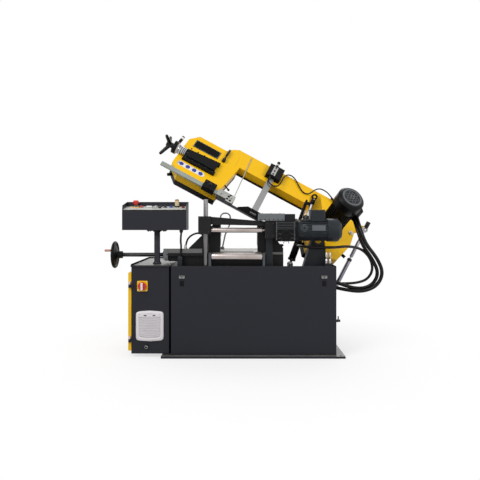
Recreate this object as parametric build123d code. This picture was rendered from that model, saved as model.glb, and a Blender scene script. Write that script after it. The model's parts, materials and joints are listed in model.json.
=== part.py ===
from build123d import *
import math
import os

# Automatic horizontal band saw with a canted bow, a screw vise and a roller bar feeder.
# Millimetres, origin on the floor at the centre of the four anchor holes, +Z up, +Y to the rear.

# Clearances
RUN_FIT = 0.05
SLIDE_GAP = 0.3
SWING_GAP = 2.0

# Foot plate and base cabinet
FOOT_LENGTH = 1354
FOOT_WIDTH = 800
FOOT_THICK = 16
ANCHOR_INSET_X = 30
ANCHOR_INSET_Y = 20
ANCHOR_HOLE_R = 9
BASE_LENGTH = 1234
BASE_WIDTH = 720
RIM_Z = 674
WALL = 4
PANEL_THICK = 3
PANEL_MARGIN = 6
TRAY_DEPTH = 100
REAR_RIM_DROP = 80
STEP_RIM_Y = -60
SERVICE_MARGIN = 90
LATCH_SIZE = (42, 22)
LATCH_THICK = 7
LATCH_PIN_R = 5
LATCH_INSET = 90
LATCH_DROP = 80

# Electrical cabinet
CABINET_LENGTH = 284
CABINET_FLOOR_Z = 27
CABINET_TOP_Z = 681
LIP_REACH = 10
LIP_THICK = 12
DOOR_THICK = 23
DOOR_MARGIN_LOW = 22
DOOR_MARGIN_HIGH = 54
HINGE_R = 9
HINGE_LENGTH = 46
HINGE_INSET = 65
HINGE_LEAF = 12
SWITCH_INSET = 83
SWITCH_Z = 527
SWITCH_PLATE = 78
KNOB_R = 31
GRILLE_INSET = 137
GRILLE_Z = 232
GRILLE_SIZE = (204, 226)
GRILLE_THICK = 12
GLAND_INSET = 113
GLAND_Z = 78
GLAND_R = 19

# Console
POST_INSET = 173
POST_SETBACK = 110
POST_R = 22.5
CONSOLE_LENGTH = 480
CONSOLE_SHIFT = -9
CONSOLE_SETBACK = 30
CONSOLE_DEPTH = 165
CONSOLE_BOTTOM_Z = 940
CONSOLE_FACE_HEIGHT = 152
CONSOLE_PANEL_RISE = 31
CONSOLE_WALL = 4
CHEEK_RISE = 33
BUTTON_R = 11
BUTTON_HEIGHT = 9
BUTTON_TRAVEL = 4
STEM_R = 5
STEM_LENGTH = 14
STOP_R = 21
STOP_HEIGHT = 36
STOP_BACKING_R = (30, 17)
STOP_BACKING_HEIGHT = 12
LAMP_R = 16.5
LAMP_HEIGHT = 60

# Vise
BED_TOP_Z = 770
BED_RIGHT_X = 235
BED_NECK_X = -340
BED_LEFT_X = -644
BED_FRONT_Y = -235
BED_NECK_Y = -70
BED_REAR_Y = 300
BED_NECK_DEPTH = 70
PEDESTAL_X = -535
GIB_REACH = 24
GIB_RISE = 27
GIB_END_X = -384
BED_WALL = 24
SCREW_Y = -155
SCREW_Z = 745
SCREW_R = 16
SCREW_SLOT = 50
BEARING_THICK = 36
HANDWHEEL_X = -1058
HANDWHEEL_R = 105
HANDWHEEL_RIM_R = 12
CRANK_R = 7
CRANK_ANGLE = 66
JAW_FRONT_Y = -225
JAW_REAR_Y = -110
MOVING_JAW_X = -250
FIXED_JAW_X = 39
JAW_TOP_Z = 1006
JAW_PLATE = 30
JAW_FOOT = 240
NUT_LENGTH = 90

# Roller bar feeder
FEED_SETBACK = 30
COLUMN_X = -352
COLUMN_R = 17
COLUMN_TOP_Z = 1170
ROLLER_LEFT_X = -308
ROLLER_RIGHT_X = 68
LOWER_ROLLER_R = 27
UPPER_ROLLER_R = 19
UPPER_ROLLER_Z = 940
ROLLER_PIN_R = 9
STAND_THICK = 18
HEAD_HALF_DEPTH = 41
HEAD_LEFT = (-406, -314)
HEAD_RIGHT = (92, 164)
FEED_GEAR_LENGTH = 166
FEED_MOTOR_R = 80
FEED_MOTOR_LENGTH = 325

# Bow pivot, with the bow built lowered and then raised
PIVOT_X = 506
PIVOT_Z = 860
PIVOT_R = 25
PIVOT_BOSS_R = 45
STAND_FRONT_Y = -195
STAND_REAR_Y = -97
RAISE_ANGLE = 28.3

# Bow
CANT_ANGLE = 40
WHEEL_R = 200
WHEEL_SPAN = 1180
WHEEL_HALF_WIDTH = 16
DRIVE_WHEEL_X = 590
BLADE_Y = 40
BLADE_WIDTH = 27
BLADE_THICK = 0.9
TOOTH_DIP = 6
FACE_A = 75
FACE_THICK = 12
BOX_WALL = 8
BOX_REAR_A = -8
COVER_DEPTH = 62
BEAM_TOP_V = 355
BEAM_LOW_V = 162
AXLE_R = 20
TENSION_AXIS_A = 90
TENSION_SCREW_R = 12
TENSION_TRAVEL = 12
GUIDE_BAR_V = (-245, -205)
GUIDE_BAR_A = (79, 97)
GUIDE_BLADE_GAP = 1.2

# Lift cylinder and damper
LIFT_Y = -15
LIFT_LOW = (307, 660)
LIFT_HIGH = (505, 1202)
BARREL_R = 28
BARREL_LENGTH = 410
LIFT_ROD_R = 13
LINK_PIN_R = 10
OPEN_PIN_GAP = 4.2
DAMPER_Y = 250
DAMPER_REACH = 38
DAMPER_LOW_Z = 300
DAMPER_HIGH = (978, 932)
DAMPER_TUBE_R = 18
DAMPER_TUBE_LENGTH = 430
DAMPER_ROD_R = 9
DAMPER_PIN_GAP = 5.4
DAMPER_KNOB_R = 18
DAMPER_KNOB_LENGTH = 50

# Values that follow from the driving dimensions
BASE_HALF = BASE_LENGTH / 2
DEPTH_HALF = BASE_WIDTH / 2
DECK_Z = RIM_Z - TRAY_DEPTH
CABINET_X = (-BASE_HALF - CABINET_LENGTH, -BASE_HALF)
LATCH_SPREAD = BASE_HALF - LATCH_INSET
SWITCH_X = CABINET_X[0] + SWITCH_INSET
GRILLE_X = CABINET_X[0] + GRILLE_INSET
GLAND_X = CABINET_X[0] + GLAND_INSET
POST_X = CABINET_X[0] + POST_INSET
POST_Y = -DEPTH_HALF + POST_SETBACK
CONSOLE_CENTRE_X = POST_X + CONSOLE_SHIFT
CONSOLE_FRONT_Y = -DEPTH_HALF + CONSOLE_SETBACK
FEED_Y = -DEPTH_HALF + FEED_SETBACK
DAMPER_LOW = (BASE_HALF + DAMPER_REACH, DAMPER_LOW_Z)
BLADE_Z = BED_TOP_Z - TOOTH_DIP + BLADE_WIDTH / 2
CANT = math.radians(CANT_ANGLE)
WHEEL_CENTRE = Vector(
    DRIVE_WHEEL_X,
    BLADE_Y + WHEEL_R * math.sin(CANT),
    BLADE_Z + WHEEL_R * math.cos(CANT),
)
BOW_PLANE = Plane(WHEEL_CENTRE, x_dir=(1, 0, 0), z_dir=(0, -math.cos(CANT), math.sin(CANT)))
RAISE = Pos(PIVOT_X, 0, PIVOT_Z) * Rot(0, RAISE_ANGLE, 0) * Pos(-PIVOT_X, 0, -PIVOT_Z)
PANEL_SLOPE = math.degrees(math.atan2(CONSOLE_PANEL_RISE, CONSOLE_DEPTH))
CONSOLE_LIP_Z = CONSOLE_BOTTOM_Z + CONSOLE_FACE_HEIGHT

NODES = {}


def keep(name, *solids):
    """Hold the solids of one named piece for export."""
    NODES[name] = Compound(children=list(solids)) if len(solids) > 1 else solids[0]


def block(x, y, z):
    """Box between three pairs of limits."""
    size = (x[1] - x[0], y[1] - y[0], z[1] - z[0])
    return Pos((x[0] + x[1]) / 2, (y[0] + y[1]) / 2, (z[0] + z[1]) / 2) * Box(*size)


def rod_x(x, y, z, radius):
    """Cylinder along X between two limits."""
    return Pos((x[0] + x[1]) / 2, y, z) * Rot(0, 90, 0) * Cylinder(radius, x[1] - x[0])


def rod_y(y, x, z, radius):
    """Cylinder along Y between two limits."""
    return Pos(x, (y[0] + y[1]) / 2, z) * Rot(90, 0, 0) * Cylinder(radius, y[1] - y[0])


def rod_z(z, x, y, radius):
    """Cylinder along Z between two limits."""
    return Pos(x, y, (z[0] + z[1]) / 2) * Cylinder(radius, z[1] - z[0])


def prism(points, z):
    """Polygon in the XY plane, extruded between two heights."""
    face = make_face(Polyline(*points, close=True))
    return Pos(0, 0, z[0]) * extrude(face, z[1] - z[0], dir=(0, 0, 1))


def prism_xz(points, y):
    """Polygon in the XZ plane, extruded between two depths."""
    face = make_face(Polyline(*[(x, y[0], z) for x, z in points], close=True))
    return extrude(face, y[1] - y[0], dir=(0, 1, 0))


def prism_yz(points, x):
    """Polygon in the YZ plane, extruded between two widths."""
    face = make_face(Polyline(*[(x[0], y, z) for y, z in points], close=True))
    return extrude(face, x[1] - x[0], dir=(1, 0, 0))


def between(start, end, radius, reach=(0, 0)):
    """Cylinder from one point to another, lengthened at each end."""
    first = Vector(*start)
    axis = (Vector(*end) - first).normalized()
    length = (Vector(*end) - first).length + reach[0] + reach[1]
    foot = Plane(first - axis * reach[0], z_dir=axis)
    return foot * Cylinder(radius, length, align=(Align.CENTER, Align.CENTER, Align.MIN))


def grow(limits, amount):
    """Pair of limits widened by an amount at both ends."""
    return (limits[0] - amount, limits[1] + amount)


# Foot plate and base cabinet
def foot_plate():
    """Floor plate with four anchor holes."""
    half = (FOOT_LENGTH / 2, FOOT_WIDTH / 2)
    plate = block((-half[0], half[0]), (-half[1], half[1]), (0, FOOT_THICK))
    for sx in (-1, 1):
        for sy in (-1, 1):
            centre = (sx * (half[0] - ANCHOR_INSET_X), sy * (half[1] - ANCHOR_INSET_Y))
            plate -= rod_z((-1, FOOT_THICK + 1), *centre, ANCHOR_HOLE_R)
    return plate


BASE_FRONT_Y = -DEPTH_HALF + PANEL_THICK
STEP_RIM_Z = RIM_Z - REAR_RIM_DROP


def base_cabinet():
    """Welded sheets of the base: deck of the chip tray and four walls, with a service opening in front."""
    x = (-BASE_HALF, BASE_HALF)
    y = (BASE_FRONT_Y, DEPTH_HALF)
    z = (FOOT_THICK, RIM_Z)
    inside_x = grow(x, -WALL)
    inside_y = grow(y, -WALL)
    deck = block(inside_x, inside_y, (DECK_Z - WALL, DECK_Z))
    front = block(x, (y[0], inside_y[0]), z)
    service_z = (FOOT_THICK + SERVICE_MARGIN, DECK_Z - SERVICE_MARGIN)
    front_wall = (BASE_FRONT_Y - 1, BASE_FRONT_Y + WALL + 1)
    front -= block(grow(x, -SERVICE_MARGIN), front_wall, service_z)
    for x_latch in (-LATCH_SPREAD, LATCH_SPREAD):
        front -= rod_y(front_wall, x_latch, RIM_Z - LATCH_DROP, LATCH_PIN_R + SLIDE_GAP)
    rear = block(x, (inside_y[1], y[1]), (FOOT_THICK, STEP_RIM_Z))
    left = block((x[0], inside_x[0]), inside_y, z)
    right = block((inside_x[1], x[1]), inside_y, z)
    right -= block(grow((inside_x[1], x[1]), 1), (STEP_RIM_Y, DEPTH_HALF), (STEP_RIM_Z, RIM_Z + 1))
    return deck, front, rear, left, right


def front_panel():
    """Lift-off sheet that covers the front of the base."""
    z = (FOOT_THICK + PANEL_MARGIN, RIM_Z - PANEL_MARGIN)
    panel = block((-BASE_HALF, BASE_HALF), (-DEPTH_HALF, BASE_FRONT_Y), z)
    for x in (-LATCH_SPREAD, LATCH_SPREAD):
        panel -= rod_y((-DEPTH_HALF - 1, BASE_FRONT_Y + 1), x, RIM_Z - LATCH_DROP, LATCH_PIN_R + RUN_FIT)
    return panel


def latch(x):
    """Quarter-turn panel latch with its pin and its tongue behind the base wall."""
    z = RIM_Z - LATCH_DROP
    face_y = -DEPTH_HALF - SLIDE_GAP
    half = (LATCH_SIZE[0] / 2, LATCH_SIZE[1] / 2)
    plate = block((x - half[0], x + half[0]), (face_y - LATCH_THICK, face_y), (z - half[1], z + half[1]))
    plate = fillet(plate.edges().filter_by(Axis.Y), half[1] * 0.4)
    behind = BASE_FRONT_Y + WALL + SLIDE_GAP
    tongue = block((x - LATCH_PIN_R, x + LATCH_PIN_R), (behind, behind + WALL), (z - half[1], z + half[1]))
    return plate + rod_y((face_y - 1, behind + 1), x, z, LATCH_PIN_R) + tongue


HYDRAULIC_TANK = ((120, 480), (-60, 240), (FOOT_THICK, 256))
COOLANT_TANK = ((-520, 40), (-60, 260), (FOOT_THICK, 236))
PUMP_R = 62


def service_units():
    """Hydraulic unit and coolant tank inside the base, each with its pump motor."""
    hydraulic = block(*HYDRAULIC_TANK)
    hydraulic += rod_z((HYDRAULIC_TANK[2][1], HYDRAULIC_TANK[2][1] + 220), 240, 90, PUMP_R)
    hydraulic += block((350, 440), (40, 140), (HYDRAULIC_TANK[2][1], HYDRAULIC_TANK[2][1] + 70))
    coolant = block(*COOLANT_TANK)
    coolant += rod_z((COOLANT_TANK[2][1], COOLANT_TANK[2][1] + 180), -60, 100, PUMP_R)
    return hydraulic, coolant


# Electrical cabinet
DOOR_Z = (CABINET_FLOOR_Z + DOOR_MARGIN_LOW, CABINET_TOP_Z - DOOR_MARGIN_HIGH)
HINGE_X = CABINET_X[0] - DOOR_THICK / 2
HINGE_Y = -DEPTH_HALF - HINGE_R - SLIDE_GAP
DOOR_BACK_X = CABINET_X[0] - SLIDE_GAP


def hinge_spans():
    """Height limits of the two door hinges, each split into a cabinet half and a door half."""
    for base in (DOOR_Z[0] + HINGE_INSET, DOOR_Z[1] - HINGE_INSET - HINGE_LENGTH):
        yield (base, base + HINGE_LENGTH / 2), (base + HINGE_LENGTH / 2 + SLIDE_GAP, base + HINGE_LENGTH)


def electrical_cabinet():
    """Cabinet with a lipped top plate, open on the door side."""
    y = (-DEPTH_HALF, DEPTH_HALF)
    body = block(CABINET_X, y, (CABINET_FLOOR_Z, CABINET_TOP_Z))
    cavity_z = (CABINET_FLOOR_Z + WALL, CABINET_TOP_Z - LIP_THICK - WALL)
    body -= block((CABINET_X[0] - 1, CABINET_X[1] - WALL), grow(y, -WALL), cavity_z)
    lip_x = (CABINET_X[0] - WALL, CABINET_X[1])
    body += block(lip_x, (y[0] - LIP_REACH, y[1]), (CABINET_TOP_Z - LIP_THICK, CABINET_TOP_Z))
    body -= rod_y((y[0] - 1, y[0] + WALL + 1), SWITCH_X, SWITCH_Z, STEM_R + SLIDE_GAP)
    for low, _ in hinge_spans():
        leaf = block((HINGE_X, CABINET_X[0] + HINGE_LEAF), (HINGE_Y, -DEPTH_HALF), low)
        body += leaf + rod_z(low, HINGE_X, HINGE_Y, HINGE_R)
    return body


def cabinet_door():
    """Hollow door on the left side, hung at its front edge."""
    x = (CABINET_X[0] - DOOR_THICK, DOOR_BACK_X)
    y = (-DEPTH_HALF, DEPTH_HALF - SWING_GAP)
    door = block(x, y, DOOR_Z)
    door = fillet(door.edges().filter_by(Axis.Y).sort_by(Axis.X)[:2], DOOR_THICK / 4)
    door -= block((x[0] + WALL, x[1] + 1), grow(y, -DOOR_THICK), grow(DOOR_Z, -DOOR_THICK))
    for _, high in hinge_spans():
        leaf = block((x[0] + WALL, HINGE_X), (HINGE_Y, -DEPTH_HALF), high)
        door += leaf + rod_z(high, HINGE_X, HINGE_Y, HINGE_R)
    return door


def control_gear():
    """Mounting plate with rows of switchgear, fixed to the right wall of the cabinet."""
    back = CABINET_X[1] - WALL
    gear = block((back - 6, back), (-280, 280), (120, 600))
    for row, height in ((200, 70), (340, 100), (480, 80)):
        for column in range(-4, 5):
            y = column * 58
            gear += block((back - 80, back - 5), (y - 24, y + 24), (row, row + height))
    return gear


def switch_plate():
    """Yellow square plate behind the main switch."""
    half = SWITCH_PLATE / 2
    front = -DEPTH_HALF
    plate = block((SWITCH_X - half, SWITCH_X + half), (front - 8, front), (SWITCH_Z - half, SWITCH_Z + half))
    plate = fillet(plate.edges().filter_by(Axis.Y), 8)
    return plate - rod_y((front - 9, front + 1), SWITCH_X, SWITCH_Z, STEM_R + SLIDE_GAP)


def switch_knob():
    """Red main switch knob with a raised grip bar and its shaft."""
    back = -DEPTH_HALF - 8 - SLIDE_GAP
    knob = rod_y((back - 14, back), SWITCH_X, SWITCH_Z, KNOB_R)
    bar = block((SWITCH_X - KNOB_R * 0.25, SWITCH_X + KNOB_R * 0.25), (back - 32, back - 13),
                (SWITCH_Z - KNOB_R * 0.95, SWITCH_Z + KNOB_R * 0.95))
    bar = fillet(bar.edges().filter_by(Axis.Y), 5)
    return knob + bar + rod_y((back - 1, -DEPTH_HALF + WALL + 12), SWITCH_X, SWITCH_Z, STEM_R)


def filter_grille():
    """Square ventilation grille with curved louvres across its face."""
    half = (GRILLE_SIZE[0] / 2, GRILLE_SIZE[1] / 2)
    front = -DEPTH_HALF
    x = (GRILLE_X - half[0], GRILLE_X + half[0])
    grille = block(x, (front - GRILLE_THICK, front), (GRILLE_Z - half[1], GRILLE_Z + half[1]))
    grille = fillet(grille.edges().filter_by(Axis.Y), 14)
    for row in range(9):
        z = GRILLE_Z - half[1] + 28 + row * 17
        grille -= block(grow(x, -22), (front - GRILLE_THICK - 1, front - GRILLE_THICK + 6), (z, z + 8))
    return grille


EXIT_ROW = ((-100, 532), (-100, 485), (-60, 508))
CONSOLE_CABLE_X = -542
CONSOLE_CABLE_Y = -272
CONDUIT_X = -550
CONDUIT_R = 21
CONDUIT_TOP_Z = RIM_Z + 66
VISE_HOSE_FOOT = (-336, -258)
MANIFOLD_X = (BASE_HALF - 69, BASE_HALF - 13)
MANIFOLD_Y = (-262, -212)
DRAIN_AT = (-330, 264)


def cable_glands():
    """Glands for the cables and hoses on the cabinets, the deck and the console."""
    front = -DEPTH_HALF
    glands = [rod_y((front - 18, front), GLAND_X, GLAND_Z, GLAND_R)]
    for y, z in EXIT_ROW:
        glands.append(rod_x((BASE_HALF, BASE_HALF + 24), y, z, GLAND_R))
    glands.append(rod_z((DECK_Z, CONDUIT_TOP_Z), CONDUIT_X, CONSOLE_CABLE_Y, CONDUIT_R))
    glands.append(rod_z((DECK_Z, DECK_Z + 22), *VISE_HOSE_FOOT, GLAND_R))
    glands.append(rod_z((CONSOLE_BOTTOM_Z - 22, CONSOLE_BOTTOM_Z), CONSOLE_CABLE_X, CONSOLE_CABLE_Y, GLAND_R))
    manifold = block(MANIFOLD_X, MANIFOLD_Y, (DECK_Z, RIM_Z + 12))
    for x in (MANIFOLD_X[0] + 14, MANIFOLD_X[1] - 14):
        manifold += rod_z((RIM_Z + 11, RIM_Z + 96), x, sum(MANIFOLD_Y) / 2, 9)
    drain = rod_x((BASE_HALF, BASE_HALF + 34), DRAIN_AT[0], DRAIN_AT[1], 8)
    tap_y = (DRAIN_AT[0] - 5, DRAIN_AT[0] + 5)
    drain += block((BASE_HALF + 14, BASE_HALF + 24), tap_y, (DRAIN_AT[1], DRAIN_AT[1] + 36))
    return *glands, manifold, drain


# Console
CONSOLE_X = (CONSOLE_CENTRE_X - CONSOLE_LENGTH / 2, CONSOLE_CENTRE_X + CONSOLE_LENGTH / 2)
CONSOLE_REAR_Y = CONSOLE_FRONT_Y + CONSOLE_DEPTH
PANEL_PLANE = Plane((CONSOLE_CENTRE_X, CONSOLE_FRONT_Y, CONSOLE_LIP_Z), x_dir=(1, 0, 0),
                    z_dir=(0, -math.sin(math.radians(PANEL_SLOPE)), math.cos(math.radians(PANEL_SLOPE))))
PANEL_LENGTH = math.hypot(CONSOLE_DEPTH, CONSOLE_PANEL_RISE)
PANEL_PLATE = 4
PANEL_ENDS = (CONSOLE_WALL + SLIDE_GAP, PANEL_LENGTH - CONSOLE_WALL - 5 * SLIDE_GAP)
FRONT_ROW = 62
REAR_ROW = 116
MIDDLE_ROW = 92
STOP_ROW = 124
BUTTONS = {
    "reset_button": (POST_X - 123, MIDDLE_ROW),
    "start_button": (POST_X - 14, FRONT_ROW),
    "stop_button": (POST_X - 14, REAR_ROW),
    "jog_forward_button": (POST_X + 23, FRONT_ROW),
    "jog_back_button": (POST_X + 23, REAR_ROW),
    "light_button": (POST_X + 105, MIDDLE_ROW),
}
STOP_X = POST_X - 169
SELECTOR_AT = (POST_X + 60, MIDDLE_ROW)
DISPLAY_X = POST_X - 62
LAMP_X = POST_X + 147
SMALL_LAMP_X = POST_X + 197


def console_shell():
    """Console housing: a hollow body with raised cheeks and back wall."""
    rear_top = CONSOLE_LIP_Z + CONSOLE_PANEL_RISE
    profile = [(CONSOLE_FRONT_Y, CONSOLE_BOTTOM_Z), (CONSOLE_FRONT_Y, CONSOLE_LIP_Z),
               (CONSOLE_REAR_Y, rear_top), (CONSOLE_REAR_Y, CONSOLE_BOTTOM_Z)]
    shell = prism_yz(profile, CONSOLE_X)
    wall = CONSOLE_WALL
    hollow = [(CONSOLE_FRONT_Y + wall, CONSOLE_BOTTOM_Z + wall), (CONSOLE_FRONT_Y + wall, rear_top + 50),
              (CONSOLE_REAR_Y - wall, rear_top + 50), (CONSOLE_REAR_Y - wall, CONSOLE_BOTTOM_Z + wall)]
    shell -= prism_yz(hollow, grow(CONSOLE_X, -wall))
    cheek = [(CONSOLE_FRONT_Y, CONSOLE_LIP_Z - 1), (CONSOLE_FRONT_Y + 8, CONSOLE_LIP_Z + CHEEK_RISE),
             (CONSOLE_REAR_Y, rear_top + CHEEK_RISE), (CONSOLE_REAR_Y, rear_top - 1)]
    for x in ((CONSOLE_X[0], CONSOLE_X[0] + wall), (CONSOLE_X[1] - wall, CONSOLE_X[1])):
        shell += prism_yz(cheek, x)
    shell += block(CONSOLE_X, (CONSOLE_REAR_Y - wall, CONSOLE_REAR_Y), (rear_top - 1, rear_top + CHEEK_RISE))
    return shell


def console_post():
    """Round post with a flange on the cabinet top."""
    post = rod_z((CABINET_TOP_Z, CONSOLE_BOTTOM_Z), POST_X, POST_Y, POST_R)
    return post + rod_z((CABINET_TOP_Z, CABINET_TOP_Z + 12), POST_X, POST_Y, POST_R + 9)


def on_panel(x, along):
    """Place on the sloped console panel, normal to it."""
    return Location(PANEL_PLANE) * Pos(x - CONSOLE_CENTRE_X, along, 0)


def upright(radius, z):
    """Cylinder on its own axis between two heights."""
    return rod_z(z, 0, 0, radius)


def console_panel():
    """Sloped panel with a hole for each button, a bare display window and a yellow stop backing."""
    half = CONSOLE_LENGTH / 2 - CONSOLE_WALL
    panel = Location(PANEL_PLANE) * block((-half, half), PANEL_ENDS, (-PANEL_PLATE, 0))
    for place in (*BUTTONS.values(), SELECTOR_AT, (STOP_X, STOP_ROW)):
        panel -= on_panel(*place) * upright(STEM_R + SLIDE_GAP, (-PANEL_PLATE - 1, 1))
    window = on_panel(DISPLAY_X, MIDDLE_ROW) * block((-26, 26), (-14, 14), (0, 5))
    cone = Pos(0, 0, STOP_BACKING_HEIGHT / 2) * Cone(*STOP_BACKING_R, STOP_BACKING_HEIGHT)
    cone -= upright(STEM_R + SLIDE_GAP, (-1, STOP_BACKING_HEIGHT + 1))
    backing = on_panel(STOP_X, STOP_ROW) * cone
    return panel, window, backing


def button(place):
    """Push button with a stem through the panel."""
    cap = upright(BUTTON_R, (BUTTON_TRAVEL + 1, BUTTON_TRAVEL + 1 + BUTTON_HEIGHT))
    cap = fillet(cap.edges().sort_by(Axis.Z)[-1:], 2)
    return on_panel(*place) * (cap + upright(STEM_R, (-STEM_LENGTH, BUTTON_TRAVEL + 2)))


def e_stop():
    """Mushroom emergency stop on a tall neck."""
    base = BUTTON_TRAVEL + STOP_BACKING_HEIGHT + SLIDE_GAP
    head = upright(STOP_R, (base + STOP_HEIGHT - 24, base + STOP_HEIGHT))
    head = fillet(head.edges().sort_by(Axis.Z)[-1:], 7)
    neck = upright(STOP_R * 0.6, (base, base + STOP_HEIGHT - 23))
    return on_panel(STOP_X, STOP_ROW) * (head + neck + upright(STEM_R, (-STEM_LENGTH, base + 1)))


def mode_selector():
    """Rotary selector with a grip bar."""
    disc = upright(BUTTON_R + 2, (SLIDE_GAP, 8))
    bar = block((-3, 3), (-BUTTON_R, BUTTON_R), (7, 19))
    return on_panel(*SELECTOR_AT) * (disc + bar + upright(STEM_R, (-STEM_LENGTH, 1)))


def signal_lamp():
    """Signal lamp on the panel: a collar and a domed lens, with a small lamp beside it."""
    collar = upright(LAMP_R + 2, (0, 10))
    lens = upright(LAMP_R, (10, LAMP_HEIGHT))
    lens = fillet(lens.edges().sort_by(Axis.Z)[-1:], LAMP_R * 0.5)
    small = upright(BUTTON_R, (0, 12))
    place = on_panel(LAMP_X, STOP_ROW)
    return place * collar, place * lens, on_panel(SMALL_LAMP_X, MIDDLE_ROW) * small


# Vise
SLOT_Y = (SCREW_Y - SCREW_SLOT / 2, SCREW_Y + SCREW_SLOT / 2)
SLOT_FLOOR_Z = SCREW_Z - SCREW_R - 14
SCREW_END_X = FIXED_JAW_X - 30
JOURNAL = 20


def vise_bed():
    """Cast bed on the deck, with a screw slot and a blade groove."""
    bed = block((BED_NECK_X, BED_RIGHT_X), (BED_FRONT_Y, BED_REAR_Y), (DECK_Z, BED_TOP_Z))
    hollow_y = (BED_FRONT_Y + BED_WALL, BED_REAR_Y - BED_WALL)
    hollow_x = (BED_NECK_X + BED_WALL, BED_RIGHT_X - BED_WALL)
    bed -= block(hollow_x, hollow_y, (DECK_Z - 1, SLOT_FLOOR_Z - BED_WALL))
    bed -= block((BED_NECK_X - 1, SCREW_END_X), SLOT_Y, (SLOT_FLOOR_Z, BED_TOP_Z + 1))
    bed -= rod_x((SCREW_END_X - 1, SCREW_END_X + JOURNAL + SLIDE_GAP), SCREW_Y, SCREW_Z, SCREW_R + RUN_FIT)
    groove_z = (BED_TOP_Z - TOOTH_DIP - 14, BED_TOP_Z + 1)
    return bed - block((BED_NECK_X - 1, BED_RIGHT_X + 1), (BLADE_Y - 12, BLADE_Y + 12), groove_z)


def bed_neck():
    """Neck to the left of the bed on its pedestal, with the screw slot."""
    y = (BED_FRONT_Y, BED_NECK_Y)
    neck = block((BED_LEFT_X, BED_NECK_X), y, (BED_TOP_Z - BED_NECK_DEPTH, BED_TOP_Z))
    neck += block((PEDESTAL_X, BED_NECK_X), y, (DECK_Z, BED_TOP_Z - BED_NECK_DEPTH + 1))
    return neck - block((BED_LEFT_X - 1, BED_NECK_X + 1), SLOT_Y, (SLOT_FLOOR_Z, BED_TOP_Z + 1))


def gib_rail():
    """Machined rail along the front of the neck that guides the moving jaw."""
    x = (BED_LEFT_X - BEARING_THICK, GIB_END_X)
    lower = block(x, (BED_FRONT_Y - GIB_REACH, BED_FRONT_Y), (BED_TOP_Z - GIB_RISE, BED_TOP_Z + GIB_RISE))
    return lower + block(x, (BED_FRONT_Y - 1, JAW_FRONT_Y - SWING_GAP), (BED_TOP_Z, BED_TOP_Z + GIB_RISE))


def screw_bearing():
    """Bearing block at the left end of the bed."""
    x = (BED_LEFT_X - BEARING_THICK, BED_LEFT_X)
    bearing = block(x, (SCREW_Y - 42, SCREW_Y + 42), (SLOT_FLOOR_Z - 14, BED_TOP_Z + 14))
    bearing = fillet(bearing.edges().filter_by(Axis.X), 6)
    return bearing - rod_x(grow(x, 1), SCREW_Y, SCREW_Z, SCREW_R + RUN_FIT)


def leadscrew():
    """Screw shaft from the handwheel to its journal in the bed."""
    shaft = rod_x((HANDWHEEL_X + 20, SCREW_END_X + JOURNAL), SCREW_Y, SCREW_Z, SCREW_R)
    collar_x = BED_LEFT_X - BEARING_THICK - SLIDE_GAP
    return shaft + rod_x((collar_x - 18, collar_x), SCREW_Y, SCREW_Z, SCREW_R + 10)


def handwheel():
    """Dished handwheel with a solid web and a hub."""
    rim_r = HANDWHEEL_R - HANDWHEEL_RIM_R
    rim = Pos(HANDWHEEL_X - 14, SCREW_Y, SCREW_Z) * Rot(0, 90, 0) * Torus(rim_r, HANDWHEEL_RIM_R)
    web = Pos(HANDWHEEL_X - 3, SCREW_Y, SCREW_Z) * Rot(0, 90, 0) * Cone(rim_r, SCREW_R + 12, 22)
    web -= Pos(HANDWHEEL_X - 13, SCREW_Y, SCREW_Z) * Rot(0, 90, 0) * Cone(rim_r, SCREW_R + 12, 22)
    hub = rod_x((HANDWHEEL_X - 16, HANDWHEEL_X + 44), SCREW_Y, SCREW_Z, SCREW_R + 12)
    return rim + web + hub - rod_x((HANDWHEEL_X + 20, HANDWHEEL_X + 45), SCREW_Y, SCREW_Z, SCREW_R)


def crank_grip():
    """Crank grip on the handwheel rim."""
    angle = math.radians(CRANK_ANGLE)
    z = SCREW_Z + (HANDWHEEL_R - HANDWHEEL_RIM_R) * math.cos(angle)
    y = SCREW_Y - (HANDWHEEL_R - HANDWHEEL_RIM_R) * math.sin(angle)
    x = HANDWHEEL_X - 14 - HANDWHEEL_RIM_R
    grip = rod_x((x - 46, x - 4), y, z, CRANK_R + 2)
    grip = fillet(grip.edges(), 3)
    return grip + rod_x((x - 5, x + HANDWHEEL_RIM_R * 0.3), y, z, CRANK_R)


def jaw(face_x, side, foot_z, foot):
    """Vise jaw: face plate, foot and two gussets, facing away from the side given."""
    back = face_x + side * JAW_PLATE
    heel = face_x + side * foot
    y = (JAW_FRONT_Y, JAW_REAR_Y)
    body = block(sorted((face_x, back)), y, (foot_z, JAW_TOP_Z))
    body += block(sorted((face_x, heel)), y, (foot_z, foot_z + JAW_PLATE))
    gusset = [(back, JAW_TOP_Z), (heel, foot_z + JAW_PLATE), (back, foot_z + JAW_PLATE)]
    for span in ((y[0], y[0] + 20), (y[1] - 20, y[1])):
        body += prism_xz(gusset, span)
    return body


def moving_jaw():
    """Moving jaw with its nut in the bed slot."""
    body = jaw(MOVING_JAW_X, -1, BED_TOP_Z + SLIDE_GAP, JAW_FOOT)
    nut_x = (MOVING_JAW_X - JAW_FOOT / 2 - NUT_LENGTH / 2, MOVING_JAW_X - JAW_FOOT / 2 + NUT_LENGTH / 2)
    nut = block(nut_x, grow(SLOT_Y, -SLIDE_GAP), (SLOT_FLOOR_Z + SLIDE_GAP, BED_TOP_Z + 1))
    return (body + nut) - rod_x(grow(nut_x, 1), SCREW_Y, SCREW_Z, SCREW_R + SLIDE_GAP)


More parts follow.
